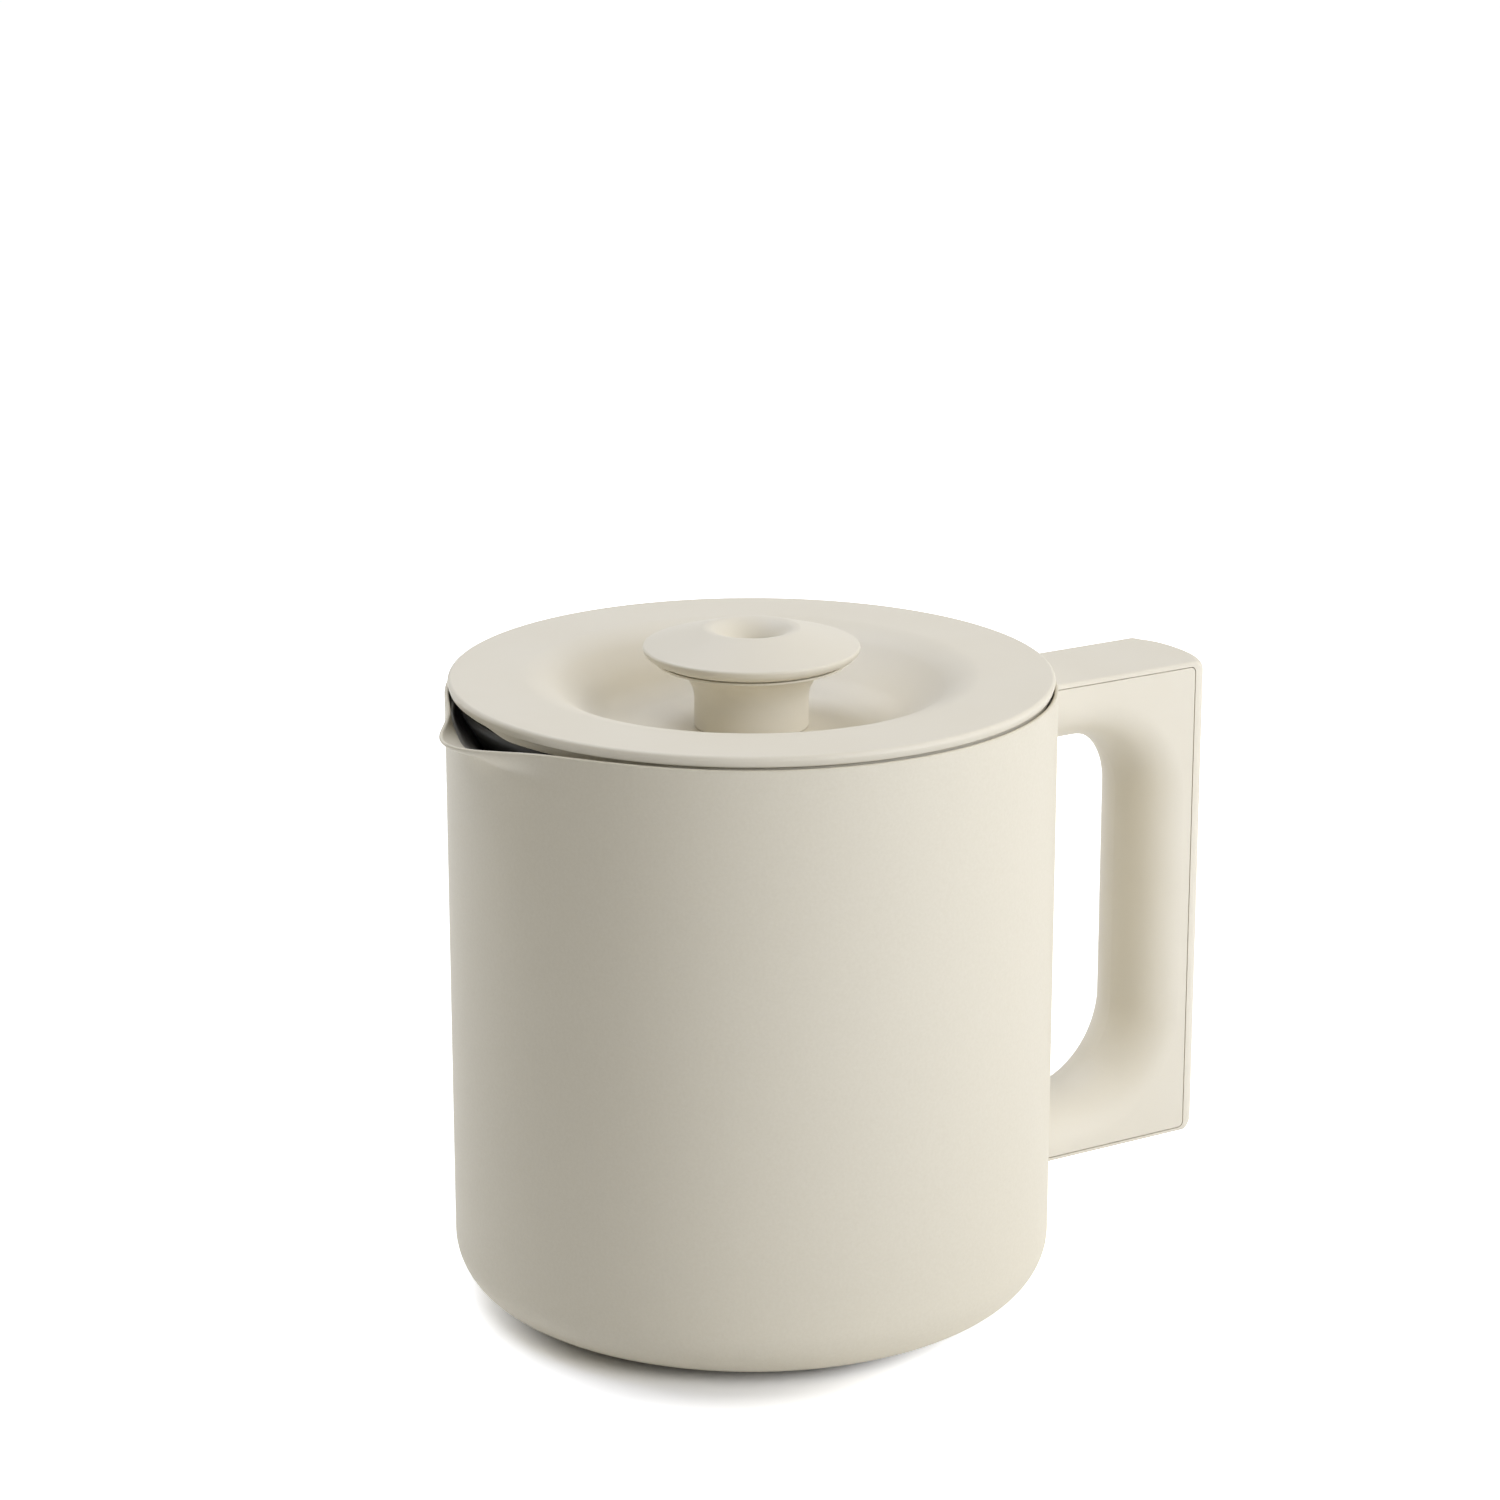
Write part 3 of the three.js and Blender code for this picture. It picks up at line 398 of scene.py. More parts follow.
def show(name: str, mesh: BMesh, body: Body, slot: Slot, *nodes: str) -> None:
    """Finishes a piece: gives it its size in metres, its material and its place in the frame.

    Args:
        name: Name of the piece.
        mesh: Its mesh in millimetres, which is freed.
        body: Body that it moves with.
        slot: Material slot of the record that it takes its finish from.
        *nodes: Frame nodes that it stands for.
    """
    bmesh.ops.scale(mesh, vec=(MM, MM, MM), verts=mesh.verts)
    piece = add_object(name, mesh)
    piece.data.shade_smooth()
    piece.data.set_sharp_from_angle(angle=SHARP_ANGLE)
    piece.data.materials.append(FINISHES[slot].material())
    even = piece.modifiers.new("even_shading", "WEIGHTED_NORMAL")
    even.keep_sharp = True
    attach(piece, body.value)
    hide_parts(*nodes)
    LOG.info("%s: %d faces, rides on %s", name, len(piece.data.polygons), body.value)


@dataclass
class Vessel:
    """Double-walled steel vessel with a pouring lip that is pinched out of both walls."""

    body_r: float = 70.0
    draft: float = 0.2
    shell_wall: float = 1.0
    base_z: float = lowest("outer_shell").z
    rim_z: float = highest("outer_shell").z
    base_round: float = 12.4
    base_opening_r: float = 52.5
    lip_round: float = 0.45
    spout_reach: float = 9.1
    spout_dip: float = 2.15
    spout_fall: float = 7.5
    spout_spread: float = math.radians(11.1)
    dip_spread: float = math.radians(21.4)
    crowding: float = 0.5  # draws the facets together at the lip
    liner_wall: float = 0.8
    liner_r: float = 64.0
    liner_round: float = 15.0
    neck_r: float = 62.0
    collar_r: float = 67.7
    neck_length: float = 21.5
    neck_rise: float = 9.375  # neck to collar
    collar_drop: float = 3.75  # collar below the rim
    liner_drop: float = 4.4  # the liner's welded edge below the rim, so that the coat shows inside the lip
    weld: float = 0.75  # how far that edge turns out to the shell
    shoulder: float = 6.0
    channel_full: float = 5.0
    ring_step: float = 0.5

    @property
    def collar_z(self) -> float:
        """Height where the liner has its full collar."""
        return self.rim_z - self.collar_drop

    @property
    def neck_z(self) -> float:
        """Height where the neck starts to widen."""
        return self.collar_z - self.neck_rise

    @property
    def shoulder_z(self) -> float:
        """Height of the neck's lower end."""
        return self.neck_z - self.neck_length

    def lip_share(self, z: float) -> float:
        """Returns how far the lip has come out at a height, from 0 below it to 1 at the rim."""
        return smooth_step(z, self.rim_z - self.spout_fall, self.rim_z)

    def shell_reach(self, z: float) -> float:
        """Returns how far the lip's middle stands beyond the round shell at a height."""
        return self.spout_reach * self.lip_share(z)

    def liner_radius(self, z: float) -> float:
        """Draws the liner's round inside from its belly through the neck to the collar.

        Args:
            z: Height to measure at.

        Returns:
            Inner radius.
        """
        collar = (self.collar_r - self.neck_r) * smooth_step(z, self.neck_z, self.collar_z)
        belly = 1 - smooth_step(z, self.shoulder_z - self.shoulder, self.shoulder_z)
        return self.neck_r + collar + (self.liner_r - self.neck_r) * belly

    def liner_reach(self, z: float) -> float:
        """Returns how far the liner's pouring channel stands beyond the round liner at a height."""
        channel = smooth_step(z, self.shoulder_z, self.neck_z - self.channel_full)
        return self.shell_reach(z) + (self.collar_r - self.liner_radius(z)) * channel

    def pinch(self, mesh: BMesh, swell: Callable[[float], float], reach: Callable[[float], float]) -> None:
        """Moves the points of a turned wall out into its round form, and out and down into the pouring lip.

        Args:
            mesh: The turned wall.
            swell: Change of the round wall's radius at a height.
            reach: Reach of the lip's middle at a height.
        """
        for vert in mesh.verts:
            even = math.atan2(vert.co.y, -vert.co.x)
            angle = even - self.crowding * math.sin(even)
            bell = math.exp(-((angle / self.spout_spread) ** 2))
            dip = self.spout_dip * self.lip_share(vert.co.z) * math.exp(-((angle / self.dip_spread) ** 2))
            radius = vert.co.xy.length
            if radius > self.neck_r / 2:
                radius += swell(vert.co.z) + reach(vert.co.z) * bell
            vert.co = (-radius * math.cos(angle), radius * math.sin(angle), vert.co.z - dip)

    def shell(self) -> None:
        """Makes the outer shell with its rounded base edge and rolled lip."""
        foot_r = self.body_r - self.draft
        mesh = turned([
            Corner(self.base_opening_r, self.base_z),
            Corner(foot_r, self.base_z, self.base_round),
            Corner(self.body_r, self.rim_z, self.lip_round),
            Corner(self.body_r - self.shell_wall, self.rim_z, self.lip_round),
            Corner(foot_r - self.shell_wall, self.base_z + self.shell_wall, self.base_round - self.shell_wall),
            Corner(self.base_opening_r, self.base_z + self.shell_wall),
        ], VESSEL_SIDES)
        flare = round(self.spout_fall / self.ring_step)
        cut_rings(mesh, spread(self.rim_z - self.spout_fall, self.rim_z - self.lip_round, flare))
        self.pinch(mesh, lambda z: 0.0, self.shell_reach)
        show("coated_shell", mesh, Body.VESSEL, Slot.POWDER_COAT, "outer_shell")

    def liner(self) -> None:
        """Makes the inner steel cup with its neck, collar and pouring channel."""
        under_z = lowest("inner_liner").z
        top_z = self.rim_z - self.liner_drop
        outer_r = self.liner_r + self.liner_wall
        mesh = turned([
            Corner(0, under_z),
            Corner(outer_r, under_z, self.liner_round + self.liner_wall),
            Corner(outer_r, top_z - 2 * self.liner_wall),
            Corner(outer_r + self.weld, top_z - self.liner_wall),
            Corner(outer_r + self.weld, top_z),
            Corner(self.liner_r, top_z, self.liner_wall),
            Corner(self.liner_r, under_z + self.liner_wall, self.liner_round),
            Corner(0, under_z + self.liner_wall),
        ], VESSEL_SIDES)
        low = self.shoulder_z - self.shoulder
        cut_rings(mesh, spread(low, top_z - self.liner_wall, round((top_z - low) / (2 * self.ring_step))))
        self.pinch(mesh, lambda z: self.liner_radius(z) - self.liner_r, self.liner_reach)
        show("steel_liner", mesh, Body.VESSEL, Slot.STEEL, "inner_liner")

    def build(self) -> None:
        """Makes both walls."""
        self.shell()
        self.liner()


@dataclass
class Base:
    """Pan-shaped base plate with a soft foot in it."""

    sheet: float = 1.0
    plate_r: float = 52.2
    plate_z: float = lowest("base_plate").z
    plate_top_z: float = highest("base_plate").z
    hole_r: float = 2.0
    edge_round: float = 0.35
    foot_r: float = 50.9
    foot_top_z: float = highest("base_foot").z
    foot_edge: float = 0.5
    recess_r: float = 7.8
    recess_z: float = 1.2
    ribs: tuple[float, ...] = (18.0, 28.0, 38.0)  # radii of the grooves under the foot
    groove: float = 3.0
    groove_depth: float = 0.5

    def plate(self) -> None:
        """Makes the base plate with its turned-down rim."""
        inner_r = self.plate_r - self.sheet
        under_z = self.plate_top_z - self.sheet
        mesh = turned([
            Corner(self.plate_r, self.plate_z, self.edge_round),
            Corner(self.plate_r, self.plate_top_z, self.sheet),
            Corner(self.hole_r, self.plate_top_z),
            Corner(self.hole_r, under_z),
            Corner(inner_r, under_z),
            Corner(inner_r, self.plate_z, self.edge_round),
        ], TURNED_SIDES)
        show("base_pan", mesh, Body.VESSEL, Slot.STEEL, "base_plate")

    def foot(self) -> None:
        """Makes the foot with round grooves that help it to grip."""
        under = [Corner(0, 0)]
        for r in self.ribs:
            far = r + self.groove
            spots = ((r, 0), (r, self.groove_depth), (far, self.groove_depth), (far, 0))
            under += [Corner(*spot, self.edge_round / 2) for spot in spots]
        mesh = turned([
            *under,
            Corner(self.foot_r, 0, self.foot_edge),
            Corner(self.foot_r, self.foot_top_z, self.edge_round),
            Corner(self.recess_r, self.foot_top_z),
            Corner(self.recess_r, self.recess_z),
            Corner(0, self.recess_z),
        ], TURNED_SIDES)
        show("foot_pad", mesh, Body.VESSEL, Slot.SILICONE, "base_foot")

    def build(self) -> None:
        """Makes the plate and the foot."""
        self.plate()
        self.foot()


@dataclass(frozen=True)
class Station:
    """A place along the inner side of the grip, in the X and Z plane, and the way out from it."""

    place: Vector
    out: Vector


@dataclass
class Handle:
    """Loop handle: a grip with a round inner side and a cover strap round its outside."""

    half_width: float = 13.7
    top_z: float = highest("handle_cover").z
    bottom_z: float = lowest("handle_cover").z
    sheet: float = 1.05
    seam: float = 0.2
    seam_x: float = 117.1
    crown: float = 6.3
    crown_fullness: float = 2.2
    crown_steps: int = 64
    cover_side_round: float = 1.0
    cover_back_round: float = 2.8
    cover_round_grows: float = 0.9  # turn towards the back at which the edge has its full round
    cover_edge_steps: int = 8
    cover_corner: float = 1.5
    seam_round: float = 0.12
    shell_r: float = 70.3
    shell_steps: int = 12
    bar_x: float = 104.0
    upper_arm: float = 15.05
    lower_arm: float = 11.7
    grip_round: float = 10.6
    upper_corner: float = 17.4
    lower_corner: float = 19.6
    corner_steps: int = 18
    fine_steps: int = 8
    fine_angle: float = math.radians(3)  # closer stations on both sides of the outer corner

    @property
    def grip_x(self) -> float:
        """Back face of the grip."""
        return self.seam_x - self.seam

    @property
    def grip_top(self) -> float:
        """Top face of the grip."""
        return self.top_z - self.sheet - self.seam

    @property
    def grip_bottom(self) -> float:
        """Underside of the grip."""
        return self.bottom_z + self.sheet + self.seam

    def on_shell(self, y: float) -> float:
        """Returns how far out the shell's round side lies at a distance from the middle plane."""
        return math.sqrt(self.shell_r ** 2 - y ** 2)

    def bend(self, radius: float, centre_z: float, outer_z: float) -> list[Station]:
        """Places stations round an inner corner of the grip.

        Args:
            radius: Radius of the inner corner.
            centre_z: Height of the corner's centre.
            outer_z: Height of the outer face at this corner.

        Returns:
            Stations from the arm to the bar.
        """
        centre = Vector((self.bar_x - radius, centre_z))
        start = math.copysign(math.pi / 2, outer_z - centre_z)
        middle = math.atan2(outer_z - centre_z, self.grip_x - centre.x)
        near = math.copysign(self.fine_angle, start)
        angles = [
            *spread(start, middle + near, self.corner_steps),
            *spread(middle + near, middle - near, 2 * self.fine_steps)[1:],
            *spread(middle - near, 0, self.corner_steps)[1:],
        ]
        ways = [Vector((math.cos(angle), math.sin(angle))) for angle in angles]
        return [Station(centre + way * radius, way) for way in ways]

    def stations(self) -> list[Station]:
        """Lists the grip's stations.

        Returns:
            Stations from the upper arm round to the lower one.
        """
        upper_z = self.grip_top - self.upper_arm
        lower_z = self.grip_bottom + self.lower_arm
        start_x = self.on_shell(self.half_width)
        return [
            Station(Vector((start_x, upper_z)), Vector((0, 1))),
            *self.bend(self.upper_corner, upper_z - self.upper_corner, self.grip_top),
            *reversed(self.bend(self.lower_corner, lower_z + self.lower_corner, self.grip_bottom)),
            Station(Vector((start_x, lower_z)), Vector((0, -1))),
        ]

    def depth(self, station: Station) -> float:
        """Measures the grip from a station out to the faces that the cover closes.

        Args:
            station: Place on the inner side.

        Returns:
            Depth along the station's way out, with the outer corner rounded.
        """
        rounding = self.cover_corner - self.seam
        place, out = station.place, station.out
        side = math.copysign(1, out.y)
        face_z = self.grip_top if side > 0 else self.grip_bottom
        limits = [(self.grip_x - place.x) / out.x] if out.x > MERGE_DISTANCE else []
        if abs(out.y) > MERGE_DISTANCE:
            limits.append((face_z - place.y) / out.y)
        reach = min(limits)
        hit = place + out * reach
        centre = Vector((self.grip_x - rounding, face_z - side * rounding))
        if hit.x <= centre.x or (hit.y - centre.y) * side <= 0:
            return reach
        along = (centre - place).dot(out)
        aside = (centre - place).length_squared - along ** 2
        return along + math.sqrt(max(0.0, rounding ** 2 - aside))

    def section(self, mesh: BMesh, station: Station) -> list[BMVert]:
        """Adds the grip's section at a station: flat outside, short sides and a half ellipse to the fingers.

        Args:
            mesh: Mesh that takes the section's closed wire.
            station: Where the section lies.

        Returns:
            Points of the wire.
        """
        depth = self.depth(station)
        half = self.grip_round
        known = set(mesh.verts)
        verts = [mesh.verts.new(spot) for spot in ((0, half, 0), (0, -half, 0), (depth, -half, 0), (depth, half, 0))]
        wire(mesh, verts)
        full = half - MERGE_DISTANCE
        for vert, rounding in zip(verts, (self.seam_round, self.seam_round, full, full)):
            round_corner(mesh, vert, rounding)
        loop = [vert for vert in mesh.verts if vert not in known]
        outer = station.place + station.out * depth
        widen = self.half_width / half
        bmesh.ops.transform(mesh, verts=loop, matrix=Matrix((
            (-station.out.x, 0, 0, outer.x),
            (0, widen, 0, 0),
            (-station.out.y, 0, 0, outer.y),
            (0, 0, 0, 1),
        )))
        return loop

    def grip(self) -> None:
        """Makes the grip by bridging its sections, with both ends fitted to the round shell."""
        mesh = bmesh.new()
        loops = [self.section(mesh, station) for station in self.stations()]
        for vert in loops[0] + loops[-1]:
            vert.co.x = self.on_shell(vert.co.y)
        edges = [list({edge for vert in loop for edge in vert.link_edges}) for loop in loops]
        loft(mesh, edges)
        show("grip_moulding", mesh, Body.VESSEL, Slot.CREAM_PLASTIC, "handle_grip")

    def ring(self, mesh: BMesh, lean: float, up: int) -> list[BMEdge]:
        """Adds a ring round the cover's outside: fitted to the shell, straight sides, and a back that swells out.

        Args:
            mesh: Mesh that takes the ring.
            lean: Angle up the rounded edge, from 0 on the upright side to a quarter turn on the flat face.
            up: 1 for the upper edge and -1 for the lower one.

        Returns:
            Edges of the ring.
        """
        power = 2 / self.crown_fullness
        face_z = self.top_z if up > 0 else self.bottom_z
        inward, short = 1 - math.cos(lean), 1 - math.sin(lean)
        half = self.half_width - self.cover_side_round * inward
        spots = [(self.on_shell(y), y, face_z - up * self.cover_side_round * short)
                 for y in spread(half, -half, self.shell_steps)]
        for angle in spread(-math.pi / 2, math.pi / 2, self.crown_steps):
            along = max(0.0, math.cos(angle)) ** power
            across = abs(math.sin(angle)) ** power
            way = Vector((along ** (self.crown_fullness - 1) / self.crown,
                          across ** (self.crown_fullness - 1) / self.half_width)).normalized()
            full = smooth_step(way.x, 0, self.cover_round_grows)
            size = self.cover_side_round + (self.cover_back_round - self.cover_side_round) * full
            x = self.seam_x + self.crown * along - way.x * size * inward
            y = self.half_width * across - way.y * size * inward
            spots.append((x, math.copysign(y, angle), face_z - up * size * short))
        return wire(mesh, [mesh.verts.new(spot) for spot in spots])

    def block(self) -> Object:
        """Makes the cover's outside as a solid block.

        Returns:
            Block whose edges are tight along the sides and full at the back.
        """
        mesh = bmesh.new()
        leans = spread(0, math.pi / 2, self.cover_edge_steps)
        rings = [self.ring(mesh, lean, -1) for lean in reversed(leans)]
        rings += [self.ring(mesh, lean, 1) for lean in leans]
        loft(mesh, rings)
        return add_object("cover_block", mesh)

    def room(self) -> Object:
        """Makes the space inside the cover.

        Returns:
            Block with small rounded corners, which is cut away.
        """
        low_z, high_z = self.bottom_z + self.sheet, self.top_z - self.sheet
        mesh = bmesh.new()
        reach = 2 * self.half_width
        spots = ((self.shell_r / 2, low_z), (self.seam_x, low_z), (self.seam_x, high_z), (self.shell_r / 2, high_z))
        verts = [mesh.verts.new((x, -reach, z)) for x, z in spots]
        wire(mesh, verts)
        for vert in verts[1:3]:
            round_corner(mesh, vert, self.cover_corner)
        face = bmesh.ops.contextual_create(mesh, geom=mesh.edges[:])["faces"]
        moved = bmesh.ops.extrude_face_region(mesh, geom=face)["geom"]
        far = [item for item in moved if isinstance(item, BMVert)]
        bmesh.ops.translate(mesh, verts=far, vec=(0, 2 * reach, 0))
        bmesh.ops.recalc_face_normals(mesh, faces=mesh.faces)
        return add_object("cover_room", mesh)

    def cover(self) -> None:
        """Makes the cover strap: the rounded block less the space that the grip fills."""
        block = self.block()
        room = self.room()
        cut = block.modifiers.new("room", "BOOLEAN")
        cut.operation = "DIFFERENCE"
        cut.solver = "EXACT"
        cut.object = room
        bpy.context.view_layer.update()
        shape = block.evaluated_get(bpy.context.evaluated_depsgraph_get())
        mesh = bmesh.new()
        mesh.from_mesh(shape.data)
        for made in (block, room):
            bpy.data.objects.remove(made)
        bmesh.ops.remove_doubles(mesh, verts=mesh.verts, dist=MERGE_DISTANCE)
        show("cover_strap", mesh, Body.VESSEL, Slot.CREAM_PLASTIC, "handle_cover")

    def build(self) -> None:
        """Makes the grip and its cover."""
        self.grip()
        self.cover()


@dataclass
class Lid:
    """Lift-off lid: a disc with a bowl in its middle, a trim ring, a plug and the plug's gasket."""

    edge_r: float = 69.3
    edge_height: float = 2.55
    edge_round: float = 0.9
    crease_drop: float = 1.05  # crease in the side, below the top face
    crease_round: float = 0.08
    undercut: float = 0.5  # how far the side leans in below the crease
    under_round: float = 0.25
    sheet: float = 2.2
    top_z: float = highest("lid_top").z
    bowl_r: float = 52.5
    bowl_depth: float = 12.4
    bowl_bend: float = 14.0
    bowl_slope: float = math.radians(38)
    hole_r: float = 9.1
    trim_r: float = 68.1
    trim_in_r: float = 65.4
    trim_height: float = 1.6
    notch_at: float = math.radians(18)  # middle of the pouring notch in the trim ring, from the lip
    notch_half: tuple[float, float] = (math.radians(16), math.radians(25))  # its floor and its upper ends
    notch_left: float = 0.2  # share of the ring's height that the notch leaves
    seam: float = 0.25
    plug_r: float = 61.0
    plug_collar_r: float = 66.7
    plug_z: float = lowest("lid_base").z
    seat_gap: float = 0.1
    plug_wall: float = 1.8
    plug_floor: float = 2.2
    plug_edge: float = 0.8
    plug_bend: float = 5.0
    neck_z: float = 131.175
    collar_z: float = 140.55
    boss_wall: float = 3.0
    groove_r: float = 58.6
    groove_rise: float = 3.6
    groove_height: float = 5.1
    gasket_gap: float = 0.35
    gasket_lip: float = 0.65
    gasket_lip_height: float = 1.6
    soft_edge: float = 0.25

    @property
    def under_z(self) -> float:
        """Lower edge of the lid's side."""
        return self.top_z - self.edge_height

    def bowl(self, offset: float) -> list[Corner]:
        """Draws the bowl's side between its two bends.

        Args:
            offset: How far the face lies below the upper one.

        Returns:
            Corners at the bowl's rim and at its floor.
        """
        rim_r = self.bowl_r - self.bowl_bend * math.tan(self.bowl_slope / 2)
        floor_r = rim_r - self.bowl_depth / math.tan(self.bowl_slope)
        shift = offset * math.tan(self.bowl_slope / 2)
        return [
            Corner(rim_r + shift, self.top_z - offset, self.bowl_bend - offset),
            Corner(floor_r + shift, self.top_z - self.bowl_depth - offset, self.bowl_bend + offset),
        ]

    def disc(self) -> None:
        """Makes the lid's upper moulding."""
        floor_z = self.top_z - self.bowl_depth
        skirt_r = self.edge_r - self.sheet
        mesh = turned([
            Corner(self.edge_r - self.undercut, self.under_z, self.under_round),
            Corner(self.edge_r, self.top_z - self.crease_drop, self.crease_round),
            Corner(self.edge_r, self.top_z, self.edge_round),
            *self.bowl(0),
            Corner(self.hole_r, floor_z),
            Corner(self.hole_r, floor_z - self.sheet),
            *reversed(self.bowl(self.sheet)),
            Corner(skirt_r, self.top_z - self.sheet),
            Corner(skirt_r, self.under_z),
        ], TURNED_SIDES)
        show("lid_disc", mesh, Body.LID, Slot.CREAM_PLASTIC, "lid_top")

    def trim(self) -> None:
        """Makes the thin ring that shows under the lid's edge, with its pouring notch."""
        top_z = self.under_z - self.seam
        mesh = turned([
            Corner(self.trim_in_r, top_z - self.trim_height),
            Corner(self.trim_r, top_z - self.trim_height, self.soft_edge),
            Corner(self.trim_r, top_z, self.soft_edge),
            Corner(self.trim_in_r, top_z),
        ], TURNED_SIDES)
        for vert in mesh.verts:
            aside = abs(math.atan2(vert.co.y, -vert.co.x) - self.notch_at)
            share = self.notch_left + (1 - self.notch_left) * smooth_step(aside, *self.notch_half)
            vert.co.z = top_z - (top_z - vert.co.z) * share
        show("trim_hoop", mesh, Body.LID, Slot.CREAM_PLASTIC, "lid_trim_ring")

    def plug(self) -> None:
        """Makes the plug that closes the neck."""
        trim_z = lowest("lid_trim_ring").z - self.seat_gap
        groove_z = self.plug_z + self.groove_rise
        groove_top = groove_z + self.groove_height
        inner_r = self.groove_r - self.plug_wall
        floor_z = self.plug_z + self.plug_floor
        boss_r = self.hole_r + self.boss_wall
        boss_z = self.top_z - self.bowl_depth - self.sheet
        mesh = turned([
            Corner(self.hole_r, self.plug_z),
            Corner(self.plug_r, self.plug_z, self.plug_edge),
            Corner(self.plug_r, groove_z, self.soft_edge),
            Corner(self.groove_r, groove_z),
            Corner(self.groove_r, groove_top),
            Corner(self.plug_r, groove_top, self.soft_edge),
            Corner(self.plug_r, self.neck_z, self.plug_bend),
            Corner(self.plug_collar_r, self.collar_z, self.plug_bend),
            Corner(self.plug_collar_r, trim_z),
            Corner(self.plug_collar_r - self.plug_wall, trim_z),
            Corner(self.plug_collar_r - self.plug_wall, self.collar_z, self.plug_bend),
            Corner(self.plug_r - self.plug_wall, self.neck_z, self.plug_bend / 2),
            Corner(inner_r, groove_top, self.plug_bend / 2),
            Corner(inner_r, floor_z, self.plug_edge),
            Corner(boss_r, floor_z, self.plug_edge),
            Corner(boss_r, boss_z),
            Corner(self.hole_r, boss_z),
        ], TURNED_SIDES)
        show("lid_plug", mesh, Body.LID, Slot.DARK_PLASTIC, "lid_base")

    def gasket(self) -> None:
        """Makes the soft ring with two lips that wipe the neck."""
        low = lowest("lid_gasket").z
        high = highest("lid_gasket").z
        inner_r = self.groove_r + self.gasket_gap
        lip_r = self.plug_r + self.gasket_lip
        half = self.gasket_lip_height / 2
        below = ((inner_r, low), (self.plug_r, low), (lip_r, low + half), (self.plug_r, low + 2 * half))
        above = [(r, low + high - z) for r, z in reversed(below)]
        mesh = turned([Corner(*spot, self.soft_edge) for spot in (*below, *above)], TURNED_SIDES)
        show("plug_gasket", mesh, Body.SEAL, Slot.SILICONE, "lid_gasket")

    def build(self) -> None:
        """Makes the lid's four pieces."""
        self.disc()
        self.trim()
        self.plug()
        self.gasket()


